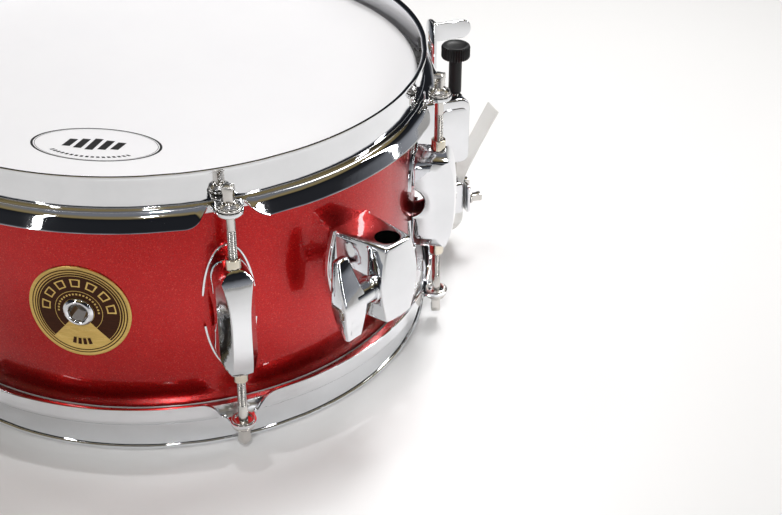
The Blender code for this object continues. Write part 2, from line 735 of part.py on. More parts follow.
def make_wires():
    """A row of wires between two soldered end plates, with a plastic strap under each plate."""
    strands = bmesh.new()
    for index in range(WIRE_COUNT):
        side = (index - (WIRE_COUNT - 1) / 2) * WIRE_PITCH
        end = WIRE_HALF_LENGTH - 0.004
        cylinder(strands, (-end, side, WIRE_HEIGHT), (end, side, WIRE_HEIGHT), WIRE_RADIUS, 6)
    half = WIRE_COUNT * WIRE_PITCH / 2 + 0.001
    wires = add("snare_wires", mesh_of(strands, "snare_wires"), "steel")
    plates = bmesh.new()
    for end in (-1, 1):
        near, far = sorted((end * (WIRE_HALF_LENGTH - 0.012), end * WIRE_HALF_LENGTH))
        box(plates, (near, -half, WIRE_HEIGHT - 0.0007), (far, half, WIRE_HEIGHT + 0.0007))
    boolean(wires, helper("wire_plates", mesh_of(plates, "wire_plates")), "UNION")
    start = [(WIRE_HALF_LENGTH - 0.010, STRAP_HEIGHT)]
    bend = arc((CLAMP_PLANE - STRAP_BEND, STRAP_HEIGHT + STRAP_BEND), STRAP_BEND, -90, 0, 5)
    tail = [(CLAMP_PLANE, 0.0450), (0.1955, 0.0530), (0.2040, 0.0690), (0.2165, 0.0920)]
    make_strap("strainer_strap", start + bend + tail, STRAINER_ANGLE)
    bend = arc((BUTT_PLANE - STRAP_BEND, STRAP_HEIGHT + STRAP_BEND), STRAP_BEND, -90, 0, 5)
    make_strap("butt_strap", start + bend + [(BUTT_PLANE, 0.0620)], BUTT_ANGLE)


def make_clamp(name, angle, plane, low, high, half_width):
    """A plate outside the strap, held by two screws with square heads on either side of it."""
    matrix = station(angle, 0, 0)
    face = plane + STRAP_THICKNESS / 2 + 0.0008
    side = STRAP_WIDTH / 2 + 0.0026
    mesh = box_mesh(name, (face, -half_width, low), (face + 0.0018, half_width, high), 0.0004, 1)
    clamp = placed(add(name, mesh, "chrome"), matrix)
    middle = (low + high) / 2
    holes = bmesh.new()
    for index, end in enumerate((-side, side), start=1):
        cylinder(holes, (face - 0.01, end, middle), (face + 0.01, end, middle), 0.0022, 10)
        shank = bmesh.new()
        outer = face + 0.0018 + GAP
        cylinder(shank, (outer, end, middle), (outer + 0.0014, end, middle), 0.0038, 12)
        screw = placed(add(f"{name}_screw_{index}", mesh_of(shank, "clamp_screw"), "steel"), matrix)
        inside = (face - 0.0005, end, middle)
        shank = cylinder_mesh("clamp_shank", inside, (outer + 0.001, end, middle), 0.0018, 10)
        low = (outer + 0.0010, end - 0.0024, middle - 0.0024)
        head = box_mesh("clamp_head", low, (outer + 0.0085, end + 0.0024, middle + 0.0024), 0.0004, 1)
        for what, mesh in (("shank", shank), ("head", head)):
            boolean(screw, placed(helper(f"{name}_{what}_{index}", mesh), matrix), "UNION")
    bores = placed(helper(f"{name}_holes", mesh_of(holes, "clamp_holes")), matrix)
    boolean(clamp, bores, "DIFFERENCE")


def make_clamps():
    make_clamp("strainer_clamp", STRAINER_ANGLE, CLAMP_PLANE, 0.0245, 0.0440, 0.0140)
    make_clamp("butt_clamp", BUTT_ANGLE, BUTT_PLANE, 0.0370, 0.0590, 0.0140)
    face = BUTT_PLANE - STRAP_THICKNESS / 2 - GAP
    base = box_mesh("butt_base", (SHELL_RADIUS + GAP, -0.0150, 0.0345), (face, 0.0150, 0.0640), 0.0012, 1)
    placed(add("butt_base", base, "chrome"), station(BUTT_ANGLE, 0, 0))


make_shell()
make_head("batter_head", "head_film", flip=False)
make_head("snare_side_head", "clear_film", flip=True)
make_hoop("batter_hoop", flip=False)
make_hoop("snare_side_hoop", flip=True)
make_lugs()
make_badge()
make_receiver()
make_wing_bolt()
make_strainer()
make_lever()
make_adjuster()
make_wires()
make_clamps()
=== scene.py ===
"""The looks of the snare drum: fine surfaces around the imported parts, a pale floor, lights and a camera.

Lengths are in millimetres until a mesh is made. +Z is up, +X points to the strainer, and the origin is
on the drum's axis in the plane of the lower rim.
"""

import json
import math

import bmesh
import bpy
import numpy as np
from mathutils import Matrix, Vector


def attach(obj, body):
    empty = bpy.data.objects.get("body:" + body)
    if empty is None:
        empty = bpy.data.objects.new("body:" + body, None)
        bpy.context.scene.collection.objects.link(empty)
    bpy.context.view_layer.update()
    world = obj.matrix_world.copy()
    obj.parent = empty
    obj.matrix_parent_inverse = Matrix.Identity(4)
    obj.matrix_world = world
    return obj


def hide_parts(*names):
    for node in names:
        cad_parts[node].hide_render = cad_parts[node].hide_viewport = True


MM = 0.001
# Points closer than this, in metres, become one. Edges bent by more than this angle, in degrees, stay sharp.
WELD_DISTANCE = 0.000002
SHARP_ANGLE = 32.0

# The drum's driving dimensions.
HEIGHT = 168.0
MIDDLE = HEIGHT / 2
SHELL_RADIUS = 151.5
SHELL_TOP = 154.0
SHELL_BOTTOM = HEIGHT - SHELL_TOP
WRAP = 0.5
SHELL_INNER = 145.0
ROD_CIRCLE = 166.5
EAR_HEIGHT = 150.0
LUG_ANGLES = [-90 + 60 * i for i in range(6)]
STRAINER_ANGLE = 0.0
BUTT_ANGLE = 180.0
RECEIVER_ANGLE = -61.0
BADGE_ANGLE = -119.5
BADGE_HEIGHT = 85.2

# Hoops.
HOOP_STEEL = 1.7
HOOP_MIDDLE = 155.35
FLANGE_START = 158.0
FLANGE_LEVEL = EAR_HEIGHT - HOOP_STEEL / 2
# Each skirt's section, as points of (radius, height), and its length along the sheet.
FLARED_SKIRT = [(158.0, 149.15), (159.2, 148.95), (160.4, 148.3), (161.35, 147.25)]
FLARED_SKIRT += [(162.15, 145.85), (165.9, 138.55)]
FLARED_LENGTH = 11.6
STRAIGHT_SKIRT = [(158.0, 149.15), (159.2, 149.0), (159.9, 148.4), (160.2, 147.4)]
STRAIGHT_SKIRT += [(160.4, 144.8), (161.4, 137.5)]
STRAIGHT_LENGTH = 12.6
EAR_RADIUS = 6.9
EAR_CENTRE = ROD_CIRCLE - FLANGE_START
FLANGE_ROWS = 14
# The radius at which sideways distances along the flange are measured.
FLANGE_MIDDLE = 162.0
# Beside each ear the flange turns down into the skirt from this distance, over this width.
FOLD_START = 7.0
FOLD_WIDTH = 5.0
GATE_HALF = 28.0
GATE_NEAR = 3.6
GATE_FAR = 16.5

# Rods and nuts.
THREAD_PITCH = 1.06
THREAD_DEPTH = 0.34
ROD_RADIUS = 2.6
ROD_HEAD_LEVELS = [(0.76, 3.2), (0.79, 4.0), (0.79, 9.2), (0.87, 10.0)]
ROD_HEAD_LEVELS += [(0.87, 12.0), (0.78, 12.9), (0.45, 13.3)]
NUT_TOP = 122.0
NUT_LENGTH = 16.0
NUT_RADIUS = 4.1

# Camera: place in metres, angles in degrees, lens for a 36 mm sensor.
CAMERA_PLACE = (-0.1457, -0.7888, 0.5175)
CAMERA_AZIMUTH = -20.29
CAMERA_ELEVATION = 31.96
CAMERA_LENS = 68.82

# The studio's spots: name, place, target, cone in degrees, soft edge, size in metres, and power in watts.
SPOTS = [
    ("key_spot", (1.05, 1.05, 1.85), (0.22, 0.14, 0.0), 34.0, 0.95, 0.30, 96.0),
    ("head_spot", (-0.03, 0.05, 2.25), (-0.02, 0.0, 0.15), 9.6, 0.15, 0.03, 44.0),
    ("fill_spot", (-0.7, 1.2, 1.9), (0.02, 0.10, 0.1), 18.0, 0.8, 0.25, 40.0),
    ("front_spot", (-0.45, -1.5, 1.7), (0.03, -0.17, 0.0), 12.0, 0.95, 0.07, 50.0),
]
# Its soft boxes: name, place, target, size in metres, power in watts, and colour.
BOXES = [
    ("top_box", (0.1, 0.6, 2.4), (0.0, 0.0, 0.1), (0.9, 0.5), 2.6, (1.0, 1.0, 1.0)),
    ("right_strip", (1.9, -0.2, 0.9), (0.0, 0.0, 0.1), (0.14, 1.2), 2.4, (1.0, 1.0, 1.0)),
    ("front_strip", (0.75, -1.8, 0.75), (0.0, 0.0, 0.1), (0.10, 1.1), 2.0, (1.0, 1.0, 1.0)),
    ("left_strip", (-1.7, -1.1, 0.9), (0.0, 0.0, 0.1), (0.10, 1.4), 2.0, (1.0, 1.0, 1.0)),
]
BOX_SPREAD = 100.0
# A soft sun that evens out the floor: place, strength, and its size as an angle in degrees.
SUN_PLACE = (1.05, 1.05, 2.3)
SUN_STRENGTH = 1.1
SUN_ANGLE = 24.0
# The world's colours from the horizon, at 0, to straight overhead, at 1.
WORLD_STRENGTH = 0.42
WORLD_STOPS = [
    (0.0, (0.78, 0.80, 0.85)),
    (0.10, (0.48, 0.50, 0.55)),
    (0.26, (0.05, 0.052, 0.06)),
    (0.55, (0.02, 0.023, 0.03)),
    (0.66, (0.62, 0.48, 0.22)),
    (0.80, (0.48, 0.40, 0.26)),
    (0.90, (0.38, 0.40, 0.45)),
    (1.0, (0.42, 0.43, 0.49)),
]

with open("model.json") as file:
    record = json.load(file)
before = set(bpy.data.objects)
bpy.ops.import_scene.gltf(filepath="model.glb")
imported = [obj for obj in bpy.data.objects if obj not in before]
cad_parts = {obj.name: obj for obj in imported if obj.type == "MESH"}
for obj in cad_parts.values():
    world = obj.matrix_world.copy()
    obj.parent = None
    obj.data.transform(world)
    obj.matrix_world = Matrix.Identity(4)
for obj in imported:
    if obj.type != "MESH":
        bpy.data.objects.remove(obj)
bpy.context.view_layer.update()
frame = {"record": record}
node_body = {}
for body_name, members in frame["record"]["behaviour"]["bodies"].items():
    for member in members:
        node_body[member] = body_name


# Node materials.


class Shader:
    """A material's node tree, with one line for each node."""

    def __init__(self, name):
        self.material = bpy.data.materials.new(name)
        self.material.use_nodes = True
        self.tree = self.material.node_tree
        self.surface = self.tree.nodes["Principled BSDF"]
        self.place = self.node("ShaderNodeTexCoord").outputs["Object"]

    def node(self, kind, settings=None, **inputs):
        made = self.tree.nodes.new(kind)
        for key, value in (settings or {}).items():
            setattr(made, key, value)
        for key, value in inputs.items():
            self.feed(made.inputs[key.replace("_", " ")], value)
        return made

    def feed(self, socket, value):
        if isinstance(value, bpy.types.NodeSocket):
            self.tree.links.new(value, socket)
        elif isinstance(value, tuple) and len(value) == 3 and socket.type == "RGBA":
            socket.default_value = (*value, 1.0)
        else:
            socket.default_value = value

    def set(self, **inputs):
        for key, value in inputs.items():
            self.feed(self.surface.inputs[key.replace("_", " ")], value)

    def math(self, operation, first, second=0.0, clamp=False):
        made = self.node("ShaderNodeMath", {"operation": operation, "use_clamp": clamp})
        self.feed(made.inputs[0], first)
        self.feed(made.inputs[1], second)
        return made.outputs[0]

    def noise(self, scale, detail=3.0, roughness=0.5, vector=None):
        made = self.node(
            "ShaderNodeTexNoise", Vector=vector or self.place, Scale=scale, Detail=detail, Roughness=roughness
        )
        return made.outputs["Fac"]

    def spread(self, value, low, high, to_low, to_high):
        made = self.node(
            "ShaderNodeMapRange", From_Min=low, From_Max=high, To_Min=to_low, To_Max=to_high
        )
        self.feed(made.inputs["Value"], value)
        return made.outputs["Result"]

    def blend(self, share, first, second, kind="MIX"):
        made = self.node("ShaderNodeMix", {"data_type": "RGBA", "blend_type": kind})
        self.feed(made.inputs[0], share)
        self.feed(made.inputs[6], first)
        self.feed(made.inputs[7], second)
        return made.outputs[2]

    def bump(self, height, strength, distance, normal=None):
        made = self.node("ShaderNodeBump", Strength=strength, Distance=distance, Height=height)
        if normal:
            self.feed(made.inputs["Normal"], normal)
        return made.outputs["Normal"]

    def let_through(self, colour, share):
        """Mixes in light that comes through from behind."""
        through = self.node("ShaderNodeBsdfTranslucent", Color=colour)
        both = self.node("ShaderNodeMixShader")
        self.feed(both.inputs[0], share)
        self.tree.links.new(self.surface.outputs[0], both.inputs[1])
        self.tree.links.new(through.outputs[0], both.inputs[2])
        self.tree.links.new(both.outputs[0], self.tree.nodes["Material Output"].inputs["Surface"])

    def cells(self, scale, output="Color", randomness=1.0):
        made = self.node("ShaderNodeTexVoronoi", Vector=self.place, Scale=scale, Randomness=randomness)
        return made.outputs[output]


def chrome_material(name, colour, rough_low, rough_high, waviness):
    """Plated metal: a faint haze that varies, and the slight waviness of a pressed or cast surface."""
    shader = Shader(name)
    haze = shader.noise(60.0, 4.0, 0.6)
    waves = shader.noise(110.0, 2.0, 0.5)
    grain = shader.noise(1500.0, 2.0, 0.5)
    tint = shader.spread(haze, 0.35, 0.7, 0.0, 1.0)
    darker = tuple(0.95 * part for part in colour)
    shader.set(
        Base_Color=shader.blend(tint, colour, darker),
        Metallic=1.0,
        Roughness=shader.spread(haze, 0.3, 0.75, rough_low, rough_high),
        Normal=shader.bump(grain, 0.02, 0.0001, shader.bump(waves, waviness, 0.001)),
    )
    return shader.material


def wrap_material():
    """Candy red wrap: fine flakes under a clear, glossy layer."""
    shader = Shader("red_sparkle")
    fine = shader.node("ShaderNodeSeparateColor", Color=shader.cells(3200.0)).outputs
    coarse = shader.node("ShaderNodeSeparateColor", Color=shader.cells(2200.0)).outputs
    cloud = shader.noise(25.0, 3.0, 0.6)
    thick = shader.spread(cloud, 0.3, 0.7, 0.0, 1.0)
    base = shader.blend(thick, (0.44, 0.004, 0.005), (0.50, 0.006, 0.007))
    lit = shader.blend(shader.spread(fine[0], 0.72, 1.0, 0.0, 0.45), base, (0.80, 0.022, 0.016))
    deep = shader.blend(shader.spread(fine[1], 0.6, 1.0, 0.0, 0.45), lit, (0.22, 0.001, 0.002))
    spark = shader.spread(coarse[2], 0.90, 0.98, 0.0, 1.0)
    colour = shader.blend(shader.math("MULTIPLY", spark, 0.20), deep, (1.0, 0.16, 0.10))
    tilt = shader.bump(fine[2], 0.06, 0.0002)
    shader.set(
        Base_Color=colour,
        Metallic=0.92,
        Roughness=shader.spread(coarse[0], 0.0, 1.0, 0.27, 0.36),
        Normal=tilt,
        Coat_Weight=0.8,
        Coat_Roughness=0.02,
        Coat_IOR=1.38,
    )
    return shader.material


def wood_material():
    """The bare plies inside the shell: straight grain around the drum."""
    shader = Shader("maple_ply")
    stretch = shader.node("ShaderNodeMapping", {"vector_type": "POINT"}, Vector=shader.place)
    stretch.inputs["Scale"].default_value = (14.0, 14.0, 160.0)
    grain = shader.noise(2.2, 6.0, 0.65, stretch.outputs["Vector"])
    pores = shader.noise(900.0, 2.0, 0.5)
    share = shader.spread(grain, 0.3, 0.7, 0.0, 1.0)
    shader.set(
        Base_Color=shader.blend(share, (0.72, 0.52, 0.31), (0.54, 0.35, 0.19)),
        Roughness=shader.spread(grain, 0.2, 0.8, 0.48, 0.62),
        Normal=shader.bump(pores, 0.15, 0.0003),
    )
    return shader.material


def film_material():
    """Coated head: white, with the fine sprayed texture of the coating."""
    shader = Shader("coated_head")
    spray = shader.noise(2600.0, 3.0, 0.6)
    mottling = shader.noise(14.0, 4.0, 0.6)
    share = shader.spread(mottling, 0.3, 0.7, 0.0, 1.0)
    shader.set(
        Base_Color=shader.blend(share, (0.90, 0.90, 0.925), (0.875, 0.875, 0.905)),
        Roughness=shader.spread(spray, 0.3, 0.7, 0.42, 0.58),
        Specular_IOR_Level=0.35,
        Normal=shader.bump(spray, 0.12, 0.0002),
    )
    shader.let_through((0.93, 0.91, 0.88), 0.30)
    return shader.material


def clear_film_material():
    """The thin snare side head: hazy clear film."""
    shader = Shader("clear_film")
    haze = shader.noise(30.0, 4.0, 0.6)
    shader.set(
        Base_Color=(0.86, 0.88, 0.88),
        Roughness=shader.spread(haze, 0.3, 0.7, 0.10, 0.22),
        Alpha=shader.spread(haze, 0.3, 0.7, 0.42, 0.50),
        Normal=shader.bump(haze, 0.04, 0.001),
    )
    return shader.material


def plastic_material(name, colour, low, high, grain_strength):
    """Moulded plastic with a fine grain."""
    shader = Shader(name)
    grain = shader.noise(1400.0, 3.0, 0.6)
    smear = shader.noise(40.0, 3.0, 0.5)
    paler = tuple(min(1.0, 1.35 * part + 0.004) for part in colour)
    shader.set(
        Base_Color=shader.blend(shader.spread(smear, 0.35, 0.75, 0.0, 0.5), colour, paler),
        Roughness=shader.spread(smear, 0.3, 0.7, low, high),
        Specular_IOR_Level=0.25,
        Normal=shader.bump(grain, grain_strength, 0.0003),
    )
    return shader.material


def strap_material():
    """Milky, see-through strap."""
    shader = Shader("milky_strap")
    haze = shader.noise(90.0, 3.0, 0.5)
    shader.set(
        Base_Color=(0.93, 0.93, 0.92),
        Roughness=shader.spread(haze, 0.3, 0.7, 0.30, 0.42),
        Alpha=shader.spread(haze, 0.3, 0.7, 0.46, 0.54),
        Normal=shader.bump(haze, 0.05, 0.0005),
    )
    shader.let_through((0.93, 0.93, 0.91), 0.5)
    return shader.material


def badge_material(name, colour, dark, metallic, roughness):
    """Printed or pressed badge metal with a brushed grain."""
    shader = Shader(name)
    stretch = shader.node("ShaderNodeMapping", {"vector_type": "POINT"}, Vector=shader.place)
    stretch.inputs["Scale"].default_value = (1.0, 0.06, 1.0)
    brush = shader.noise(1800.0, 3.0, 0.6, stretch.outputs["Vector"])
    shader.set(
        Base_Color=shader.blend(shader.spread(brush, 0.3, 0.7, 0.0, 1.0), colour, dark),
        Metallic=metallic,
        Roughness=shader.spread(brush, 0.3, 0.7, roughness, roughness + 0.1),
        Specular_IOR_Level=0.15,
        Normal=shader.bump(brush, 0.05, 0.0002),
    )
    return shader.material


def floor_material():
    """Pale, matt studio floor."""
    shader = Shader("pale_floor")
    mottling = shader.noise(3.0, 4.0, 0.6)
    shader.set(
        Base_Color=shader.blend(mottling, (0.90, 0.90, 0.905), (0.88, 0.88, 0.885)),
        Roughness=0.7,
        Specular_IOR_Level=0.2,
    )
    return shader.material


MATERIALS = {
    "chrome": chrome_material("chrome", (0.83, 0.84, 0.86), 0.025, 0.06, 0.05),
    "cast_chrome": chrome_material("cast_chrome", (0.81, 0.82, 0.84), 0.03, 0.08, 0.08),
    "steel": chrome_material("plated_steel", (0.66, 0.64, 0.61), 0.16, 0.27, 0.02),
    "brass": chrome_material("plated_brass", (0.80, 0.74, 0.62), 0.10, 0.20, 0.02),
    "aluminium": chrome_material("aluminium", (0.72, 0.72, 0.73), 0.22, 0.36, 0.02),
    "red": wrap_material(),
    "wood": wood_material(),
    "film": film_material(),
    "clear": clear_film_material(),
    "black": plastic_material("black_plastic", (0.012, 0.012, 0.013), 0.34, 0.50, 0.06),
    "ink": plastic_material("black_ink", (0.010, 0.010, 0.011), 0.40, 0.55, 0.03),
    "strap": strap_material(),
    "gold": badge_material("badge_gold", (0.74, 0.52, 0.18), (0.60, 0.41, 0.12), 0.9, 0.26),
    "brown": badge_material("badge_brown", (0.050, 0.013, 0.003), (0.030, 0.008, 0.002), 0.0, 0.45),
}


# Geometry helpers. Points are in millimetres.


def station(angle, reach=0.0, height=0.0):
    """A frame on the drum whose axes point outwards, sideways and up. The angle is in degrees."""
    turn = Matrix.Rotation(math.radians(angle), 4, "Z")
    return Matrix.Translation(turn @ Vector((reach * MM, 0, height * MM))) @ turn


def upside_down():
    """Turns a piece of the batter side over, about X, into the same piece of the snare side."""
    return Matrix(((1, 0, 0, 0), (0, -1, 0, 0), (0, 0, -1, HEIGHT * MM), (0, 0, 0, 1)))


def rounded(path, radii, closed=False, steps=5):
    """The 2D path with an arc at each corner. radii is one radius, or one for each point."""
    if not hasattr(radii, "__len__"):
        radii = [radii] * len(path)
    count = len(path)
    made = []
    for i, (point, radius) in enumerate(zip(path, radii)):
        corner = np.array(point, float)
        if not radius or (not closed and i in (0, count - 1)):
            made.append(tuple(corner))
            continue
        before = np.array(path[i - 1], float) - corner
        after = np.array(path[(i + 1) % count], float) - corner
        lengths = np.linalg.norm(before), np.linalg.norm(after)
        before /= lengths[0]
        after /= lengths[1]
        half = math.acos(max(-1.0, min(1.0, float(before @ after)))) / 2
        if half > math.radians(88):
            made.append(tuple(corner))
            continue
        reach = min(radius / math.tan(half), 0.49 * min(lengths))
        radius = reach * math.tan(half)
        centre = corner + (before + after) / np.linalg.norm(before + after) * radius / math.sin(half)
        first = corner + before * reach - centre
        last = corner + after * reach - centre
        sweep = math.pi - 2 * half
        for k in range(steps + 1):
            share = k / steps
            mix = math.sin((1 - share) * sweep) * first + math.sin(share * sweep) * last
            made.append(tuple(centre + mix / math.sin(sweep)))
    return made


def arc(centre, radius, start, end, count):
    """Points along an arc in 2D, with its angles in degrees."""
    turns = np.radians(np.linspace(start, end, count))
    return [(centre[0] + radius * math.cos(t), centre[1] + radius * math.sin(t)) for t in turns]


def as_mesh(bm, name, sharp=SHARP_ANGLE):
    bmesh.ops.remove_doubles(bm, verts=bm.verts, dist=WELD_DISTANCE)
    bmesh.ops.recalc_face_normals(bm, faces=bm.faces)
    mesh = bpy.data.meshes.new(name)
    bm.to_mesh(mesh)
    bm.free()
    mesh.shade_smooth()
    mesh.set_sharp_from_angle(angle=math.radians(sharp))
    return mesh


def skin(rows, around=True, along=False, caps=True):
    """A bmesh surface through rows of points, all of one length. around closes each row, along the rows."""
    rows = np.asarray(rows, float)
    high, wide = rows.shape[:2]
    bm = bmesh.new()
    verts = [bm.verts.new(point) for point in rows.reshape(-1, 3) * MM]
    for i in range(high if along else high - 1):
        lower = i * wide
        upper = (i + 1) % high * wide
        for j in range(wide if around else wide - 1):
            k = (j + 1) % wide
            bm.faces.new((verts[lower + j], verts[lower + k], verts[upper + k], verts[upper + j]))
    if caps and around and not along:
        bm.faces.new(verts[:wide][::-1])
        bm.faces.new(verts[-wide:])
    return bm


def turned(profile, steps, closed=True):
    """A profile of (radius, height) turned about Z. An open profile starts and ends on the axis."""
    turns = np.linspace(0, math.tau, steps, endpoint=False)
    rows = [[(r * math.cos(t), r * math.sin(t), z) for t in turns] for r, z in profile]
    return skin(rows, along=closed, caps=False)


def along_x(bm):
    """Turns a piece made about Z so that its axis points outwards, along X."""
    bmesh.ops.rotate(bm, verts=bm.verts, matrix=Matrix.Rotation(math.pi / 2, 3, "Y"))
    return bm


def shift(bm, x=0.0, y=0.0, z=0.0):
    bmesh.ops.translate(bm, verts=bm.verts, vec=Vector((x, y, z)) * MM)
    return bm


def joined(*parts):
    """One bmesh of several, which are used up."""
    whole = parts[0]
    for part in parts[1:]:
        mesh = bpy.data.meshes.new("part")
        part.to_mesh(mesh)
        part.free()
        whole.from_mesh(mesh)
        bpy.data.meshes.remove(mesh)
    return whole


def block(low, high, bevel=0.0, segments=3):
    low = Vector(low) * MM
    high = Vector(high) * MM
    bm = bmesh.new()
    size = Matrix.Diagonal((*(high - low), 1.0))
    bmesh.ops.create_cube(bm, size=1.0, matrix=Matrix.Translation((low + high) / 2) @ size)
    if bevel:
        bmesh.ops.bevel(bm, geom=bm.edges, offset=bevel * MM, segments=segments, profile=0.5, affect="EDGES")
    return bm


def rod(start, end, radius, steps=32, chamfer=0.3):
    """A round bar between two points with chamfered ends."""
    start = Vector(start)
    run = Vector(end) - start
    length = run.length
    profile = [(0, 0), (radius - chamfer, 0), (radius, chamfer), (radius, length - chamfer)]
    bm = turned(profile + [(radius - chamfer, length), (0, length)], steps, closed=False)
    matrix = Matrix.Translation(start * MM) @ run.to_track_quat("Z", "Y").to_matrix().to_4x4()
    bmesh.ops.transform(bm, verts=bm.verts, matrix=matrix)
    return bm


def extruded(outline, depth, matrix=None, bevel=0.0, segments=2):
    """A plate of a 2D outline, from height 0 to depth, with its edges rounded, moved by the matrix."""
    bm = bmesh.new()
    verts = [bm.verts.new((u * MM, v * MM, 0)) for u, v in outline]
    face = bm.faces.new(verts)
    top = bmesh.ops.extrude_face_region(bm, geom=[face])["geom"]
    moved = [part for part in top if isinstance(part, bmesh.types.BMVert)]
    bmesh.ops.translate(bm, verts=moved, vec=(0, 0, depth * MM))
    if bevel:
        flat = set(moved)
        rims = [e for e in bm.edges if (e.verts[0] in flat) == (e.verts[1] in flat)]
        bmesh.ops.bevel(bm, geom=rims, offset=bevel * MM, segments=segments, profile=0.5, affect="EDGES")
    if matrix:
        bmesh.ops.transform(bm, verts=bm.verts, matrix=matrix)
    return bm


def ribbon(path, thickness):
    """The outline of a strip of even thickness along a path of 2D points."""
    points = np.array(path, float)
    along = np.gradient(points, axis=0)
    along /= np.linalg.norm(along, axis=1)[:, None]
    across = np.stack((-along[:, 1], along[:, 0]), axis=1) * thickness / 2
    return [tuple(p) for p in points + across] + [tuple(p) for p in (points - across)[::-1]]


AT_ORIGIN = Matrix.Identity(4)
# Planes for plates, with the outline's u and v as (outwards, up), or (sideways, up).
OUT_AND_UP = Matrix.Rotation(math.pi / 2, 4, "X")
SIDE_AND_UP = Matrix(((0, 0, 1, 0), (1, 0, 0, 0), (0, 1, 0, 0), (0, 0, 0, 1)))


def show(name, mesh, material, matrix, replaced=(), body=None):
    """A shown piece in its place, riding its body, in place of the CAD nodes that it stands for."""
    obj = bpy.data.objects.new(name, mesh)
    if not mesh.materials:
        mesh.materials.append(MATERIALS[material])
    bpy.context.scene.collection.objects.link(obj)
    obj.matrix_world = matrix
    nodes = [replaced] if isinstance(replaced, str) else list(replaced)
    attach(obj, body or node_body[nodes[0]])
    if nodes:
        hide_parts(*nodes)
    return obj


def baked(mesh, settings):
    """The mesh with modifiers applied, given as (kind, {setting: value}) pairs."""
    obj = bpy.data.objects.new("baking", mesh)
    bpy.context.scene.collection.objects.link(obj)
    for kind, values in settings:
        modifier = obj.modifiers.new(kind.lower(), kind)
        for key, value in values.items():
            setattr(modifier, key, value)
    bpy.context.view_layer.update()
    graph = bpy.context.evaluated_depsgraph_get()
    made = bpy.data.meshes.new_from_object(obj.evaluated_get(graph))
    bpy.data.objects.remove(obj, do_unlink=True)
    made.shade_smooth()
    made.set_sharp_from_angle(angle=math.radians(SHARP_ANGLE))
    return made


def tool(bm):
    """A hidden object of this bmesh, for a Boolean."""
    obj = bpy.data.objects.new("tool", as_mesh(bm, "tool"))
    bpy.context.scene.collection.objects.link(obj)
    obj.hide_render = True
    return obj


def cut(mesh, bm, operation="DIFFERENCE", bevel=0.0, segments=2, angle=40.0):
    """The mesh cut by, or joined with, a bmesh, then with its edges rounded."""
    other = tool(bm)
    settings = [("BOOLEAN", {"object": other, "operation": operation, "solver": "EXACT"})]
    if bevel:
        settings.append(edge_rounding(bevel, segments, angle))
    made = baked(mesh, settings)
    bpy.data.objects.remove(other, do_unlink=True)
    return made


def edge_rounding(width, segments=2, angle=40.0):
    values = {
        "width": width * MM,
        "segments": segments,
        "limit_method": "ANGLE",
        "angle_limit": math.radians(angle),
        "use_clamp_overlap": True,
        "miter_outer": "MITER_ARC",
    }
    return ("BEVEL", values)


# The drum's pieces.


def vent_tool():
    """What is cut away for the vent behind the badge."""
    bm = rod((130, 0, 0), (165, 0, 0), 6.0)
    bmesh.ops.transform(bm, verts=bm.verts, matrix=station(BADGE_ANGLE, 0, BADGE_HEIGHT))
    return bm


def make_shell():
    """Maple plies with sloped bearing edges, and the wrap around them."""
    outer = SHELL_RADIUS - WRAP
    edge = outer - 0.8
    slope = edge - SHELL_INNER
    top = SHELL_TOP
    bottom = SHELL_BOTTOM
    wood = rounded(
        [
            (outer, top - 1.0),
            (outer, bottom + 1.0),
            (edge, bottom),
            (SHELL_INNER, bottom + slope),
            (SHELL_INNER, top - slope),
            (edge, top),
        ],
        0.5,
        closed=True,
        steps=3,
    )
    plies = cut(as_mesh(turned(wood, 192), "shell_plies"), vent_tool())
    show("shell_plies", plies, "wood", AT_ORIGIN, body="drum")
    wrap = rounded(
        [
            (SHELL_RADIUS, top - 1.1),
            (SHELL_RADIUS, bottom + 1.1),
            (outer + 0.02, bottom + 1.1),
            (outer + 0.02, top - 1.1),
        ],
        0.18,
        closed=True,
        steps=3,
    )
    covering = cut(as_mesh(turned(wrap, 256), "shell_wrap"), vent_tool())
    show("shell_wrap", covering, "red", AT_ORIGIN, "shell")


def make_head(name, material, matrix):
    """The film with its collar, and the flesh hoop that grips its rim."""
    top = SHELL_TOP + 0.6
    outer = SHELL_RADIUS + 0.6
    film = [(0, top), (60, top), (120, top)]
    film += rounded([(145, top), (150.6, top), (outer, top - 1.6), (outer, 143.8)], [0, 2.0, 2.0, 0])
    under = [(r - 0.3 * (r > 149), z - 0.3) for r, z in reversed(film)]
    bm = turned([*film, *under], 256, closed=False)
    show(name, as_mesh(bm, name), material, matrix, name)
    ring = rounded([(157.0, 149.0), (157.0, 143.6), (152.3, 143.6), (152.3, 149.0)], 0.8, closed=True)
    bm = turned(ring, 192)
    node = f"{name}_flesh_hoop"
    show(node, as_mesh(bm, node), "aluminium", matrix, node)


def path_lookup(path):
    """A function from distance along a 2D path to the points there."""
    points = np.array(path, float)
    reach = np.concatenate(([0.0], np.cumsum(np.linalg.norm(np.diff(points, axis=0), axis=1))))
    return lambda distance: np.stack(
        (np.interp(distance, reach, points[:, 0]), np.interp(distance, reach, points[:, 1])), axis=-1
    )


def flange_outline(length):
    """Half of one sixth of the flange's free edge, from the ear's tip: (sideways, out along the sheet)."""
    tip = arc((0, EAR_CENTRE), EAR_RADIUS, 90, 0, 12)
    side = [(EAR_RADIUS, 7.0), (EAR_RADIUS + 0.05, 5.2), (EAR_RADIUS + 0.1, 4.0)]
    bay = rounded(
        [(7.0, 4.0), (7.3, 2.0), (9.2, 1.8), (17.0, length), (40.0, length)],
        [0, 1.4, 2.2, 10.0, 0],
        steps=7,
    )
    sector = math.radians(30) * FLANGE_MIDDLE
    straight = [(s, length) for s in np.linspace(44.0, sector, 11)]
    return tip + side + bay[1:] + straight


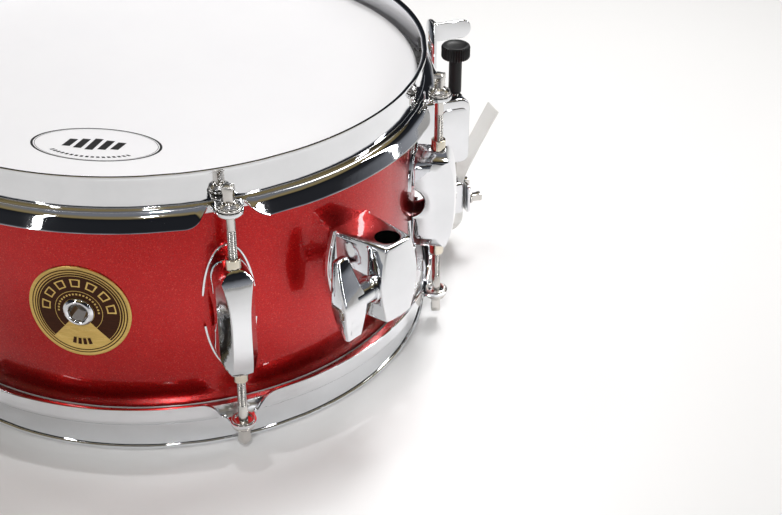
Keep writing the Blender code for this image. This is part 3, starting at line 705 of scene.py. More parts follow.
def flange_base(outline):
    """Where each point of the free edge starts at the flange's root: its sideways distances."""
    sides = np.array([s for s, _ in outline])
    reach = np.concatenate(([0.0], np.cumsum(np.linalg.norm(np.diff(np.array(outline), axis=0), axis=1))))
    blend_end = 24.0
    total = np.interp(blend_end, sides, reach)
    return np.where(sides < blend_end, blend_end * reach / total, sides)


def hoop_mesh(section, length, gates):
    """A flanged hoop: rolled lip, upright wall, and a flange that turns down as a skirt between the ears."""
    wall = rounded(
        [(157.4, 167.15), (HOOP_MIDDLE, 167.15), (HOOP_MIDDLE, FLANGE_LEVEL), (FLANGE_START, FLANGE_LEVEL)],
        [0, 1.3, 2.6, 0],
        steps=6,
    )
    upright = [(HOOP_MIDDLE, z) for z in np.arange(164.2, 153.2, -2.1)]
    wall = wall[:8] + upright[1:] + wall[8:]
    skirt = path_lookup(section)
    outline = flange_outline(length)
    base = flange_base(outline)
    columns = []
    for turn in LUG_ANGLES:
        for side in (-1, 1):
            order = range(len(outline) - 1, 0, -1) if side < 0 else range(len(outline) - 1)
            for k in order:
                edge_side, edge_reach = outline[k]
                root = base[k]
                column = [(r, side * root, z) for r, z in wall]
                for row in range(1, FLANGE_ROWS + 1):
                    share = row / FLANGE_ROWS
                    across = root + (edge_side - root) * share
                    out = edge_reach * share
                    fold = min(1.0, max(0.0, (across - FOLD_START) / FOLD_WIDTH))
                    fold = fold * fold * (3 - 2 * fold)
                    down = skirt(out)
                    r = (1 - fold) * (FLANGE_START + out) + fold * down[0]
                    z = (1 - fold) * FLANGE_LEVEL + fold * down[1]
                    column.append((r, side * across, z))
                start = math.radians(turn)
                points = []
                for r, across, z in column:
                    angle = start + across / FLANGE_MIDDLE
                    points.append((r * math.cos(angle), r * math.sin(angle), z))
                columns.append(points)
    bm = skin(columns, around=False, along=True, caps=False)
    if gates:
        faces = []
        for face in bm.faces:
            middle = face.calc_center_median() / MM
            depth = HEIGHT - middle.z
            inside = GATE_NEAR < depth < GATE_FAR and abs(middle.y) < GATE_HALF
            if inside and abs(middle.x) > 100:
                faces.append(face)
        bmesh.ops.delete(bm, geom=faces, context="FACES")
    sheet = as_mesh(bm, "hoop_sheet")
    thicken = {"thickness": HOOP_STEEL * MM, "offset": 0.0, "use_even_offset": False, "use_rim": True}
    return baked(sheet, [("SOLIDIFY", thicken), edge_rounding(0.42, 2, 45.0)])


def make_hoops():
    batter = hoop_mesh(FLARED_SKIRT, FLARED_LENGTH, gates=False)
    show("batter_hoop_chrome", batter, "chrome", AT_ORIGIN, "batter_hoop")
    snare_side = hoop_mesh(STRAIGHT_SKIRT, STRAIGHT_LENGTH, gates=True)
    show("snare_side_hoop_chrome", snare_side, "chrome", upside_down(), "snare_side_hoop")


def threads(radius, length, pitch=THREAD_PITCH, depth=THREAD_DEPTH, steps=20):
    """A threaded shaft from Z 0 down to -length, with a true helix and a rounded end."""
    lines = int(length / pitch * 6)
    turns = np.linspace(0, math.tau, steps, endpoint=False)
    rows = []
    for k in range(lines + 1):
        z = -length * k / lines
        wave = (z / pitch - turns / math.tau) % 1.0
        ridge = np.abs(2 * wave - 1)
        taper = min(1.0, (length - abs(z)) / pitch)
        r = radius - depth * (1 - ridge) - 0.35 * radius * (1 - taper)
        rows.append(np.stack((r * np.cos(turns), r * np.sin(turns), np.full(steps, z)), axis=1))
    return skin(rows)


def square_head(half, corner, steps, levels):
    """The square head of a rod or a screw. levels are pairs of a scale and a height."""
    square = [(-half, -half), (half, -half), (half, half), (-half, half)]
    cap = rounded(square, corner, closed=True, steps=steps)
    return skin([[(scale * u, scale * v, z) for u, v in cap] for scale, z in levels])


def rod_mesh():
    """A tension rod: square head with a wider cap, cone, washer, plain shank and thread."""
    head = square_head(3.25, 0.8, 3, ROD_HEAD_LEVELS)
    cone = [(0, 5.2), (3.3, 5.0), (4.0, 3.8), (5.4, 3.0), (5.9, 2.7), (6.0, 2.2), (5.7, 1.9), (0, 1.9)]
    collar = turned(rounded(cone, [0, 0.8, 0.8, 0.8, 0.3, 0.3, 0.2, 0], steps=3), 40, closed=False)
    ring = rounded([(6.45, 0.3), (6.45, 1.7), (2.7, 1.7), (2.7, 0.3)], 0.35, closed=True, steps=3)
    washer = turned(ring, 40)
    shank = [(0, 2.5), (ROD_RADIUS, 2.5), (ROD_RADIUS, -11.6), (ROD_RADIUS - 0.4, -12.2), (0, -12.2)]
    shank = turned(shank, 32, closed=False)
    thread = shift(threads(ROD_RADIUS, 30.0), z=-12.0)
    ring = rounded([(6.3, -2.75), (6.3, -1.85), (4.6, -1.85), (4.6, -2.75)], 0.42, closed=True, steps=3)
    keeper = turned(ring, 40)
    return as_mesh(joined(head, collar, washer, keeper, shank, thread), "tension_rod", 40)


def nut_mesh():
    outer = NUT_RADIUS
    inner = ROD_RADIUS + 0.15
    ring = [(outer, 0), (outer, -NUT_LENGTH), (inner, -NUT_LENGTH), (inner, 0)]
    return as_mesh(turned(rounded(ring, [0.5, 0.5, 0.3, 0.3], closed=True, steps=3), 40), "swivel_nut")


def casing_bm():
    """The lug's barrel: steep shoulders beside a flat rib, which flares to the full width at the top."""
    half = 10.2
    steps = np.linspace(-1, 1, 49)
    turn = np.clip(2 * np.abs(steps) - 1, 0, 1) * math.pi / 2
    rows = []
    for up in np.linspace(-35.0, 35.0, 36):
        level = up / 33.0
        front = 177.2 - 3.4 * level**2 - 3.0 * level**6
        depth = 10.5 - 5.0 * level**2
        rib = min(9.4, 4.9 + 0.9 * level**2 + 4.2 * max(0.0, level) ** 2.2)
        beside = rib + (half - rib) * np.sin(turn)
        across = np.where(turn > 0, beside, 2 * rib * np.abs(steps)) * np.sign(steps)
        reach = front - depth * np.sin(turn) - 0.5 * (across / half) ** 2
        nose = [(x, side, up) for x, side in zip(reach[1:-1], across[1:-1])]
        rows.append([(SHELL_RADIUS + 0.3, -half, up), *nose, (SHELL_RADIUS + 0.3, half, up)])
    return skin(rows)


def boat(half_width, half_height, end):
    """The outline of a plate with straight sides and elliptical ends, each this long."""
    turns = np.radians(np.linspace(0, 180, 32))
    top = [(half_width * math.cos(t), half_height - end + end * math.sin(t)) for t in turns]
    return top + [(-u, -v) for u, v in top]


def boat_plate(half_width, half_height, end, low, high):
    """Such a plate standing on the shell, between two distances from the drum's axis."""
    place = Matrix.Translation((low * MM, 0, 0)) @ SIDE_AND_UP
    return extruded(boat(half_width, half_height, end), high - low, place)


def oval_rim(half_width, half_height, wide, rise):
    """A raised rim that follows the shell's curve around an oval foot."""
    section = [(0.0, -0.4), (0.0, rise - 0.35), (0.12, rise - 0.1), (0.35, rise), (wide - 0.35, rise)]
    section += [(wide - 0.12, rise - 0.1), (wide, rise - 0.35), (wide, -0.4)]
    turns = np.linspace(0, math.tau, 112, endpoint=False)
    rows = []
    for inset, lift in section:
        side = (half_width - inset) * np.cos(turns)
        up = (half_height - inset) * np.sin(turns)
        reach = np.sqrt((SHELL_RADIUS + lift) ** 2 - side**2)
        rows.append(np.stack((reach, side, up), axis=1))
    return skin(rows, along=True, caps=False)


def lug_mesh():
    """A hollow lug: the barrel, its oval foot, a notch at mid-height and a pocket for each nut."""
    mesh = cut(as_mesh(casing_bm(), "casing"), boat_plate(10.4, 33.0, 14.0, 150.0, 180.0), "INTERSECT")
    mesh = cut(mesh, boat_plate(7.4, 27.5, 9.0, 145.0, 168.0))
    mesh = cut(mesh, oval_rim(14.8, 38.5, 1.3, 2.1), "UNION")
    notch = rod((150.6, -30, 0), (150.6, 30, 0), 9.8, 64)
    mesh = cut(mesh, notch)
    pockets = joined(
        rod((ROD_CIRCLE, 0, 15.0), (ROD_CIRCLE, 0, 45.0), NUT_RADIUS + 0.5, 40),
        rod((ROD_CIRCLE, 0, -15.0), (ROD_CIRCLE, 0, -45.0), NUT_RADIUS + 0.5, 40),
    )
    return cut(mesh, pockets, bevel=0.4, segments=3, angle=35.0)


def make_lugs():
    casing = lug_mesh()
    rod_shape = rod_mesh()
    nut = nut_mesh()
    over = Matrix.Rotation(math.pi, 4, "X")
    for index, angle in enumerate(LUG_ANGLES, start=1):
        lug = f"lug_{index}"
        show(f"{lug}_casing", casing, "cast_chrome", station(angle, 0, MIDDLE), lug)
        for side, level, nut_level, turn in (
            ("batter", EAR_HEIGHT, NUT_TOP, AT_ORIGIN),
            ("snare_side", HEIGHT - EAR_HEIGHT, HEIGHT - NUT_TOP, over),
        ):
            # Tuning leaves each square head at its own angle.
            spin = Matrix.Rotation(math.radians(17 * index - 46), 4, "Z")
            node = f"{side}_rod_{index}"
            place = station(angle, ROD_CIRCLE, level) @ turn @ spin
            show(f"{node}_steel", rod_shape, "steel", place, node)
            node = f"{side}_nut_{index}"
            place = station(angle, ROD_CIRCLE, nut_level) @ turn
            show(f"{node}_steel", nut, "brass", place, node)


def on_shell(u, v, lift):
    """A point on the shell's curve, sideways by u and up by v, this far off its surface."""
    angle = u / SHELL_RADIUS
    reach = SHELL_RADIUS + lift
    return (reach * math.cos(angle), reach * math.sin(angle), v)


def on_head(u, v, lift):
    return (u, v, lift)


def polar_patch(place, inner, outer, start, end, lift, stretch=(1.0, 1.0), count=None):
    """A thin patch between two radii and two angles, laid on a surface."""
    count = count or max(2, int(abs(end - start) / 3) + 1)
    turns = np.radians(np.linspace(start, end, count))
    wide, tall = stretch
    rows = []
    for radius in np.linspace(inner, outer, max(2, int((outer - inner) / 4) + 2)):
        rows.append([place(radius * wide * math.cos(t), radius * tall * math.sin(t), lift) for t in turns])
    full = abs(end - start) > 359.9
    if full:
        rows = [row[:-1] for row in rows]
    return skin(rows, around=full, caps=False)


def badge_layer(name, patches, material, matrix):
    """Thin patches of one material, laid on the badge."""
    show(name, as_mesh(joined(*patches), name), material, matrix, body="drum")


def make_badge():
    """A thin round plate bent to the shell: gold edge, brown field, gold marks, and a gold wedge below."""
    matrix = station(BADGE_ANGLE, 0, BADGE_HEIGHT)
    turns = np.linspace(0, math.tau, 120, endpoint=False)
    section = [(27.5, 0.25), (27.5, 0.75), (27.2, 0.95), (26.8, 0.95)]
    section += [(26.5, 0.8), (16.0, 0.8), (6.4, 0.8), (6.4, 0.25)]
    rows = [[on_shell(r * math.cos(t), r * math.sin(t), lift) for t in turns] for r, lift in section]
    plate = as_mesh(skin(rows, along=True, caps=False), "badge_plate", 50)
    show("badge_plate", plate, "gold", matrix, "badge")
    lift = 0.86
    field = [
        polar_patch(on_shell, 25.0, 25.6, 0, 360, lift),
        polar_patch(on_shell, 23.5, 24.1, 0, 360, lift),
        polar_patch(on_shell, 8.4, 22.9, -48, 228, lift),
    ]
    badge_layer("badge_field", field, "brown", matrix)
    raised = lift + 0.06
    marks = [
        polar_patch(on_shell, 12.5, 12.8, -48, 228, raised),
        polar_patch(on_shell, 21.7, 22.0, -48, 228, raised),
    ]
    for k in range(7):
        middle = 172 - k * 27.3
        for low, high, inner, outer in (
            (-8.5, 8.5, 15.2, 15.9),
            (-8.5, 8.5, 19.3, 20.0),
            (-8.5, -5.7, 15.9, 19.3),
            (5.7, 8.5, 15.9, 19.3),
        ):
            marks.append(polar_patch(on_shell, inner, outer, middle + low, middle + high, raised, count=6))
    for k in range(19):
        middle = 180 - 10.0 * k
        marks.append(polar_patch(on_shell, 10.2, 11.2, middle - 2.6, middle + 2.6, raised, count=3))
    badge_layer("badge_marks", marks, "gold", matrix)
    dark = raised + 0.05
    bars = []
    for k in range(4):
        middle = 257.5 + 8.4 * k
        bars.append(polar_patch(on_shell, 16.6, 20.4, middle - 2.7, middle + 2.7, dark, count=4))
    badge_layer("badge_bars", bars, "brown", matrix)
    ring = rounded(
        [(6.8, 154.4), (8.3, 153.2), (8.3, 152.6), (5.8, 152.6), (5.8, 143.9), (5.2, 143.9), (5.2, 153.9)],
        [0.8, 0.5, 0.1, 0, 0.2, 0.2, 1.0],
        closed=True,
        steps=4,
    )
    grommet = as_mesh(along_x(turned(ring, 64)), "vent_grommet")
    show("vent_grommet_chrome", grommet, "chrome", matrix, "vent_grommet")


def make_print():
    """The oval print on the batter head: a double outline and a generic mark, in black ink."""
    wide = 35.5
    tall = 18.0
    turn = Matrix.Rotation(math.radians(-30.0), 4, "Z")
    matrix = Matrix.Translation(Vector((-49.7, -85.3, SHELL_TOP + 0.66)) * MM) @ turn
    oval = (wide, tall)
    parts = [
        polar_patch(on_head, 0.962, 1.0, 0, 360, 0, oval),
        polar_patch(on_head, 0.935, 0.943, 0, 360, 0, oval),
    ]
    for k in range(5):
        left = -17.5 + 6.6 * k
        tall_bar = 4.0 + 1.1 * min(k, 4 - k)
        foot = [(left, -tall_bar, 0), (left + 4.4, -tall_bar, 0)]
        top = [(left + 2.0, tall_bar, 0), (left + 6.4, tall_bar, 0)]
        parts.append(skin([foot, top], around=False))
    for k in range(17):
        middle = 220 + 6.2 * k
        parts.append(polar_patch(on_head, 0.72, 0.80, middle - 1.8, middle + 1.8, 0, oval, 3))
    show("head_print", as_mesh(joined(*parts), "head_print"), "ink", matrix, body="drum")


def make_receiver():
    """The rod receiver: a block that widens at mid-height, on a curved foot, with a bore and a boss."""
    matrix = station(RECEIVER_ANGLE)
    low = 63.0
    high = 109.6
    rows = []
    for share in np.linspace(0, 1, 17):
        up = low + (high - low) * share
        swell = math.sin(math.pi * share)
        front = 186.4 + 0.8 * swell
        half_front = 9.6 + 4.6 * swell
        half_back = 13.8 + 1.2 * swell
        rows.append(
            [
                (151.0, half_back, up),
                (151.0, -half_back, up),
                (front, -half_front, up),
                (front + 0.7, -half_front * 0.5, up),
                (front + 0.9, 0.0, up),
                (front + 0.7, half_front * 0.5, up),
                (front, half_front, up),
            ]
        )
    body = baked(as_mesh(skin(rows), "receiver", 25), [edge_rounding(1.3, 3, 30.0)])
    foot = []
    for share in np.linspace(0, 1, 17):
        half = 14.4 + 4.8 * math.sin(math.pi * share)
        row = []
        for lift, inset in ((-0.6, 0.0), (1.9, 0.0), (2.2, 0.3), (2.2, 1.2), (2.9, 1.5), (2.9, half)):
            side = half - inset
            row.append((math.sqrt((SHELL_RADIUS + lift) ** 2 - side**2), side, low + (high - low) * share))
        foot.append(row + [(x, -y, z) for x, y, z in row[-2::-1]])
    foot = skin(foot)
    body = cut(body, foot, "UNION")
    body = cut(body, rod((178.0, -8.0, 84.0), (178.0, -15.8, 84.0), 7.6, 48, 0.5), "UNION")
    body = cut(body, rod((178.0, -8.0, 84.0), (178.0, -17.4, 84.0), 6.0, 48, 0.6), "UNION")
    body = cut(body, rod((178.0, 0, 40.0), (178.0, 0, 125.0), 6.9, 64))
    socket = rod((178.0, -14.0, 84.0), (178.0, -30.0, 84.0), 3.5, 32)
    body = cut(body, socket, bevel=0.35, segments=2, angle=45.0)
    show("rod_receiver_body", body, "cast_chrome", matrix, "rod_receiver")


def wing_section(low, high, half, lean, z, corner):
    """One cross-section of the grip: a rounded box from low to high sideways, moved along x by lean."""
    outline = [(-half, low), (half, low), (half, high), (-half, high)]
    outline = rounded(outline, min(corner, 0.49 * (high - low)), closed=True, steps=4)
    return [(x + lean, side, z) for x, side in outline]


def make_wing_bolt():
    """A cast two-armed grip on a hub, with a threaded shaft."""
    matrix = station(RECEIVER_ANGLE, 178.0, 84.0)
    # Each section's height, its two sides, half its thickness, and its lean.
    stations = [
        (-23.8, -32.6, -24.0, 1.4, 0.0),
        (-23.2, -34.0, -22.6, 2.1, 0.0),
        (-17.0, -36.0, -22.0, 3.1, 0.0),
        (-9.0, -38.0, -21.6, 4.6, 0.0),
        (-2.0, -39.0, -21.8, 5.8, 0.0),
        (0.0, -39.2, -22.0, 6.0, 0.0),
        (2.0, -39.0, -22.2, 5.8, -0.3),
        (9.0, -38.0, -24.0, 4.6, -2.0),
        (17.0, -36.2, -25.2, 3.3, -4.3),
        (23.0, -34.2, -25.8, 2.5, -6.0),
        (23.8, -33.0, -26.6, 1.6, -6.2),
    ]
    rows = [wing_section(low, high, half, lean, z, 1.5) for z, low, high, half, lean in stations]
    grip = baked(as_mesh(skin(rows), "wing"), [edge_rounding(0.5, 2, 50.0)])
    step = block((2.6, -33.0, -11.5), (4.6, -24.0, -5.5), 0.5, 2)
    pad = block((2.2, -32.6, -19.5), (3.5, -24.2, -14.0), 0.4, 2)
    hub = rod((0, -16.4, 0), (0, -29.5, 0), 6.1, 48, 0.6)
    ring = rod((0, -16.0, 0), (0, -17.6, 0), 4.6, 48, 0.3)
    shaft = threads(3.0, 10.0, 1.0, 0.3)
    bmesh.ops.rotate(shaft, verts=shaft.verts, matrix=Matrix.Rotation(-math.pi / 2, 3, "X"))
    shift(shaft, y=-19.4)
    extra = as_mesh(joined(hub, ring, step, pad), "wing_hub")
    bm = bmesh.new()
    bm.from_mesh(grip)
    bm.from_mesh(extra)
    show("wing_bolt_cast", as_mesh(bm, "wing_bolt"), "cast_chrome", matrix, "wing_bolt")
    show("wing_bolt_thread", as_mesh(shaft, "wing_thread"), "steel", matrix, body="wing")


def make_strainer():
    """The fixed part of the throw-off: foot, inner block, bridge and the tower around the screw."""
    matrix = station(STRAINER_ANGLE)
    plate = rounded([(-17.0, 36.5), (17.0, 36.5), (17.0, 113.5), (-17.0, 113.5)], 7.0, closed=True, steps=8)
    foot = extruded(plate, 2.8, Matrix.Translation((SHELL_RADIUS * MM, 0, 0)) @ SIDE_AND_UP, 0.7, 3)
    inner = block((152.5, -12.5, 60.0), (171.1, 12.5, 108.0), 2.0, 4)
    bridge = block((160.0, -9.5, 62.0), (185.0, 9.5, 80.0), 0.8, 2)
    outline = [(173.8, 61.0), (195.6, 61.0), (195.6, 106.0), (173.8, 106.0)]
    outline = rounded(outline, [1.5, 5.0, 6.5, 2.0], closed=True, steps=8)
    tower = extruded(outline, 20.0, Matrix.Translation((0, 10.0 * MM, 0)) @ OUT_AND_UP, 1.4, 4)
    rib = extruded(
        rounded([(176.5, 66.0), (193.0, 66.0), (193.0, 100.0), (176.5, 100.0)], 3.5, closed=True),
        21.2,
        Matrix.Translation((0, 10.6 * MM, 0)) @ OUT_AND_UP,
        0.4,
        2,
    )
    mesh = as_mesh(tower, "tower")
    for part in (rib, bridge, inner, foot):
        mesh = cut(mesh, part, "UNION")
    bore = rod((188.8, 0, 50.0), (188.8, 0, 120.0), 4.8, 48)
    mesh = cut(mesh, bore)
    pivot = rod((164.0, 0, 92.0), (174.0, 0, 92.0), 2.7, 32)
    mesh = cut(mesh, pivot)
    show("strainer_body", mesh, "cast_chrome", matrix, "strainer_base")
    bolts = [dome_screw(154.3, 0, height) for height in (42.5, 50.0)]
    bolts = as_mesh(joined(*bolts), "foot_screws")
    show("strainer_foot_screws", bolts, "steel", matrix, body="drum")


def dome_screw(reach, side, height, radius=2.9, rise=1.7):
    """A domed screw head whose axis points outwards."""
    profile = [(0, rise), (radius * 0.5, rise * 0.88), (radius * 0.85, rise * 0.5), (radius, 0.0), (0, 0)]
    bm = along_x(turned(rounded(profile, [0, 1.0, 1.0, 0.1, 0], steps=3), 32, closed=False))
    return shift(bm, reach, side, height)


def make_lever():
    """A flat lever that swings sideways, with a round-ended finger tab turned outwards at its top."""
    matrix = station(STRAINER_ANGLE, 172.4, 92.0)
    top = 67.0
    foot = arc((0, 0), 8.5, 200, 340, 14)
    outline = [(7.0, 22.0), (7.0, top - 1.0), (-7.0, top - 1.0), (-7.0, 22.0)]
    outline = foot + rounded(outline, [9, 12.0, 1.0, 9])
    strip = extruded(outline, 2.0, Matrix.Translation((-1.0 * MM, 0, 0)) @ SIDE_AND_UP, 0.5, 2)
    end = arc((17.5, top - 7.0), 5.8, -90, 90, 20)
    tab_outline = [(-0.9, top - 12.8), *end, (-0.9, top - 1.2)]
    tab = extruded(tab_outline, 2.0, Matrix.Translation((0, -5.0 * MM, 0)) @ OUT_AND_UP, 0.6, 3)
    mesh = cut(as_mesh(strip, "lever"), tab, "UNION")
    show("throw_lever_plate", mesh, "chrome", matrix, "throw_lever")
    dome = [(0, 2.6), (1.6, 2.3), (2.9, 1.4), (3.2, 1.02), (2.2, 1.02), (2.2, -7.8), (0, -7.8)]
    pin = along_x(turned(rounded(dome, [0, 0.8, 0.6, 0.2, 0, 0.3, 0], steps=3), 32, closed=False))
    show("lever_pin_steel", as_mesh(pin, "lever_pin"), "steel", matrix, "lever_pin")


def knurled_bm(radius, low, high, ribs, depth):
    """A knob head with fine ribs around it and a dished top."""
    count = ribs * 4
    turns = np.linspace(0, math.tau, count, endpoint=False)
    ridge = depth * (0.5 - 0.5 * np.cos(turns * ribs))
    section = [
        (radius - 1.6, low, 0.0),
        (radius - 0.5, low + 0.2, 0.4),
        (radius, low + 1.0, 1.0),
        (radius, high - 1.5, 1.0),
        (radius - 0.35, high - 0.6, 0.5),
        (radius - 1.0, high - 0.1, 0.0),
        (radius - 1.7, high, 0.0),
        (radius - 2.6, high - 0.5, 0.0),
        (radius - 3.4, high - 0.95, 0.0),
        (2.0, high - 1.0, 0.0),
    ]
    rows = []
    for r, z, share in section:
        reach = r - ridge * share
        rows.append(np.stack((reach * np.cos(turns), reach * np.sin(turns), np.full(count, z)), axis=1))
    return skin(rows)


def make_adjuster():
    """The black knob on its stem, the screw, the lift collar, and the carriage with its nut."""
    axis = station(STRAINER_ANGLE, 188.8, 0)
    knob = knurled_bm(9.0, 130.5, 139.2, 34, 0.75)
    profile = [(0, 132.0), (4.1, 132.0), (4.1, 107.4), (2.9, 106.3), (0, 106.3)]
    stem = turned(rounded(profile, [0, 0, 0.4, 0.3, 0], steps=3), 40, closed=False)
    profile = [(0, 131.2), (6.0, 131.2), (4.05, 129.0), (0, 129.0)]
    fillet = turned(rounded(profile, [0, 0.1, 1.5, 0]), 40, closed=False)
    mesh = as_mesh(joined(knob, stem, fillet), "adjust_knob")
    show("adjust_knob_black", mesh, "black", axis, "adjust_knob")
    screw = shift(threads(2.4, 76.0, 0.8, 0.25), z=106.0)
    show("adjust_screw_steel", as_mesh(screw, "adjust_screw", 40), "steel", axis, "adjust_screw")
    ring = rounded([(4.1, 98.0), (4.1, 90.0), (2.7, 90.0), (2.7, 98.0)], 0.4, closed=True, steps=3)
    show("lift_collar_steel", as_mesh(turned(ring, 40), "lift_collar"), "steel", axis, "lift_collar")
    body = as_mesh(block((180.0, -11.0, 23.5), (192.35, 11.0, 46.0), 1.6, 4), "carriage")
    thread = rod((188.8, 0, 28.0), (188.8, 0, 60.0), 2.7, 32)
    body = cut(body, thread, bevel=0.3, angle=60.0)
    show("strap_carriage_cast", body, "cast_chrome", station(STRAINER_ANGLE), "strap_carriage")


def make_strap(name, path, angle):
    outline = ribbon(path, 0.7)
    strip = extruded(outline, 16.0, Matrix.Translation((0, 8.0 * MM, 0)) @ OUT_AND_UP)
    show(f"{name}_film", as_mesh(strip, name, 40), "strap", station(angle), name)


def coil_bm(start, end, side, height, radius, wire, pitch):
    """One snare wire: a helix of fine wire along X."""
    turns = int((end - start) / pitch)
    around = 7
    count = turns * around
    t = np.arange(count + 1) / around
    centre = np.stack(
        (
            start + (end - start) * t / turns,
            side + radius * np.cos(t * math.tau),
            height + radius * np.sin(t * math.tau),
        ),
        axis=1,
    )
    out = np.stack((np.zeros(count + 1), np.cos(t * math.tau), np.sin(t * math.tau)), axis=1)
    along = np.array((1.0, 0.0, 0.0))
    corners = np.radians((45, 135, 225, 315))
    rows = [centre + wire * (math.cos(a) * out + math.sin(a) * along) for a in corners]
    return skin(np.stack(rows, axis=1))


def make_wires():
    coils = []
    for index in range(20):
        side = (index - 9.5) * 2.4
        coils.append(coil_bm(-115.0, 115.0, side, 12.0, 0.66, 0.24, 1.9))
    coils = as_mesh(joined(*coils), "snare_wires", 80)
    show("snare_wire_coils", coils, "steel", AT_ORIGIN, "snare_wires")
    plates = []
    for end in (-1, 1):
        near, far = sorted((end * 114.0, end * 126.0))
        plates.append(block((near, -25.0, 11.3), (far, 25.0, 12.7), 0.4, 2))
        for side in (-16.0, 0.0, 16.0):
            plates.append(shift(along_x(dome_screw(0, 0, 0, 2.2, 1.1)), end * 120.0, side, 11.4))
    plates = as_mesh(joined(*plates), "wire_plates")
    show("snare_wire_plates", plates, "brass", AT_ORIGIN, body="wires")
    bend = arc((184.0, 19.6), 9.0, -90, 0, 16)
    tail = rounded([(193.0, 30.0), (193.0, 47.0), (196.2, 54.5), (203.6, 69.0), (216.0, 91.6)], 18.0, steps=8)
    make_strap("strainer_strap", [(116.0, 10.6), (150.0, 10.6), *bend, *tail], STRAINER_ANGLE)
    bend = arc((158.0, 19.6), 9.0, -90, 0, 16)
    make_strap("butt_strap", [(116.0, 10.6), (140.0, 10.6), *bend, (167.0, 40.0), (167.0, 62.0)], BUTT_ANGLE)


def key_screw(reach, side, height, matrix, name, node):
    """A square-headed clamp screw with a round flange."""
    flange = rounded([(0, 1.4), (3.8, 1.4), (3.8, 0), (0, 0)], [0, 0.4, 0.2, 0], steps=3)
    flange = turned(flange, 32, closed=False)
    head = square_head(2.4, 0.5, 2, ((0.9, 1.0), (0.9, 5.6), (1.0, 6.4), (1.0, 7.8), (0.75, 8.5)))
    bm = shift(along_x(joined(flange, head)), reach, side, height)
    show(name, as_mesh(bm, name), "steel", matrix, node)


def make_clamp(name, angle, plane, low, high):
    """A plate outside the strap with a stamped rib, and two square-headed screws."""
    matrix = station(angle)
    face = plane + 1.15
    outline = rounded([(-14.0, low), (14.0, low), (14.0, high), (-14.0, high)], 2.4, closed=True, steps=5)
    plate = extruded(outline, 1.8, Matrix.Translation((face * MM, 0, 0)) @ SIDE_AND_UP, 0.45, 3)
    rib = block((face + 0.8, -5.4, low + 2.5), (face + 2.4, 5.4, high - 2.5), 0.7, 3)
    mesh = cut(as_mesh(plate, name), rib, "UNION")
    show(f"{name}_plate", mesh, "chrome", matrix, name)
    for index, side in enumerate((-10.6, 10.6), start=1):
        node = f"{name}_screw_{index}"
        key_screw(face + 2.1, side, (low + high) / 2, matrix, f"{node}_steel", node)


def make_clamps():
    make_clamp("strainer_clamp", STRAINER_ANGLE, 193.0, 24.5, 44.0)
    make_clamp("butt_clamp", BUTT_ANGLE, 167.0, 37.0, 59.0)
    base = as_mesh(block((151.4, -15.0, 34.5), (166.35, 15.0, 64.0), 2.2, 4), "butt_base")
    show("butt_base_cast", base, "cast_chrome", station(BUTT_ANGLE), "butt_base")


def make_inner_screws():
    """The heads and washers of the fixing screws inside the shell."""
    spots = [(angle, MIDDLE + side * 14.0) for angle in LUG_ANGLES for side in (-1, 1)]
    spots += [(RECEIVER_ANGLE, 68.0), (RECEIVER_ANGLE, 98.0)]
    spots += [(angle, height) for angle in (STRAINER_ANGLE, BUTT_ANGLE) for height in (44.0, 58.0)]
    parts = []
    for angle, height in spots:
        ring = rounded([(5.0, 1.2), (5.0, 0.2), (1.5, 0.2), (1.5, 1.2)], 0.3, closed=True, steps=2)
        washer = turned(ring, 24)
        head = [(0, 4.2), (3.0, 4.2), (3.6, 3.4), (3.6, 1.2), (0, 1.2)]
        head = rounded(head, [0, 0.5, 0.5, 0.1, 0], steps=2)
        bm = joined(washer, turned(head, 24, closed=False))
        bmesh.ops.rotate(bm, verts=bm.verts, matrix=Matrix.Rotation(-math.pi / 2, 3, "Y"))
        shift(bm, x=SHELL_INNER)
        bmesh.ops.transform(bm, verts=bm.verts, matrix=station(angle, 0, height))
        parts.append(bm)
    screws = as_mesh(joined(*parts), "fixing_screws")
    show("fixing_screws", screws, "steel", AT_ORIGIN, body="drum")


# The studio.


def place_light(name, data, place, target):
    obj = bpy.data.objects.new(name, data)
    bpy.context.scene.collection.objects.link(obj)
    obj.location = place
    obj.rotation_euler = (Vector(target) - Vector(place)).to_track_quat("-Z", "Y").to_euler()


def area_light(name, place, target, size, power, colour):
    lamp = bpy.data.lights.new(name, "AREA")
    lamp.color = colour
    lamp.spread = math.radians(BOX_SPREAD)
    lamp.shape = "RECTANGLE"
    lamp.size, lamp.size_y = size
    lamp.energy = power
    place_light(name, lamp, place, target)


def spot_light(name, place, target, cone, edge, size, power):
    lamp = bpy.data.lights.new(name, "SPOT")
    lamp.spot_size = math.radians(cone)
    lamp.spot_blend = edge
    lamp.shadow_soft_size = size
    lamp.energy = power
    place_light(name, lamp, place, target)


def sun_light():
    lamp = bpy.data.lights.new("even_light", "SUN")
    lamp.energy = SUN_STRENGTH
    lamp.angle = math.radians(SUN_ANGLE)
    place_light("even_light", lamp, SUN_PLACE, (0.0, 0.0, 0.0))


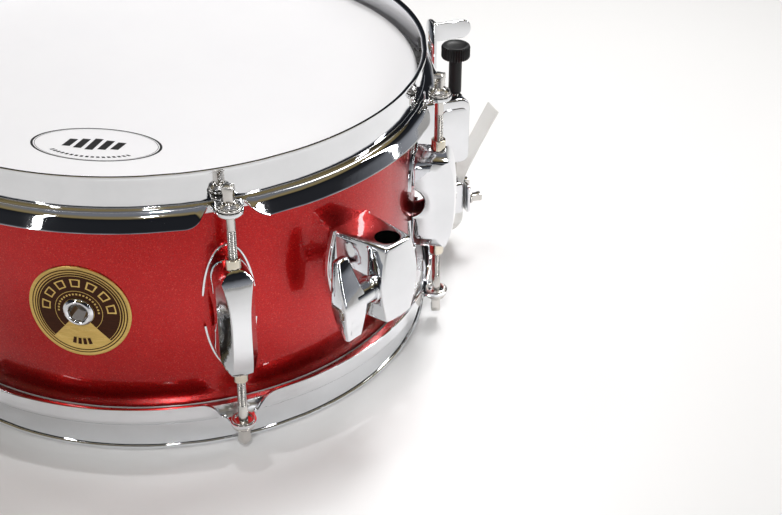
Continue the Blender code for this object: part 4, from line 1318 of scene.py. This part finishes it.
def make_world():
    """A studio with a pale horizon, a dark band above it, and a warm glow towards the top."""
    world = bpy.data.worlds.new("studio")
    bpy.context.scene.world = world
    world.use_nodes = True
    nodes = world.node_tree.nodes
    links = world.node_tree.links
    place = nodes.new("ShaderNodeTexCoord")
    split = nodes.new("ShaderNodeSeparateXYZ")
    links.new(place.outputs["Generated"], split.inputs[0])
    ramp = nodes.new("ShaderNodeValToRGB")
    stops = ramp.color_ramp.elements
    stops.remove(stops[1])
    stops[0].color = (*WORLD_STOPS[0][1], 1)
    for position, value in WORLD_STOPS[1:]:
        stops.new(position).color = (*value, 1)
    links.new(split.outputs["Z"], ramp.inputs[0])
    background = nodes["Background"]
    links.new(ramp.outputs[0], background.inputs["Color"])
    background.inputs["Strength"].default_value = WORLD_STRENGTH


def make_studio():
    make_world()
    bm = bmesh.new()
    bmesh.ops.create_circle(bm, cap_ends=True, segments=96, radius=14.0)
    floor = bpy.data.objects.new("studio_floor", as_mesh(bm, "floor"))
    floor.data.materials.append(floor_material())
    bpy.context.scene.collection.objects.link(floor)
    floor.location = (0, 0, -0.0005)
    for name, place, target, size, power, colour in BOXES:
        area_light(name, place, target, size, power, colour)
    for name, place, target, cone, edge, size, power in SPOTS:
        spot_light(name, place, target, cone, edge, size, power)
    sun_light()


def make_camera():
    data = bpy.data.cameras.new("camera")
    data.lens = CAMERA_LENS
    data.sensor_width = 36.0
    data.clip_start = 0.02
    data.clip_end = 60.0
    camera = bpy.data.objects.new("camera", data)
    bpy.context.scene.collection.objects.link(camera)
    turn = math.radians(CAMERA_AZIMUTH)
    rise = math.radians(CAMERA_ELEVATION)
    back = Vector((math.sin(turn) * math.cos(rise), -math.cos(turn) * math.cos(rise), math.sin(rise)))
    camera.location = CAMERA_PLACE
    camera.rotation_euler = back.to_track_quat("Z", "Y").to_euler()
    bpy.context.scene.camera = camera


make_shell()
make_head("batter_head", "film", AT_ORIGIN)
make_head("snare_side_head", "clear", upside_down())
make_hoops()
make_lugs()
make_badge()
make_print()
make_receiver()
make_wing_bolt()
make_strainer()
make_lever()
make_adjuster()
make_wires()
make_clamps()
make_inner_screws()
make_studio()
make_camera()
bpy.context.scene.view_settings.view_transform = "Standard"
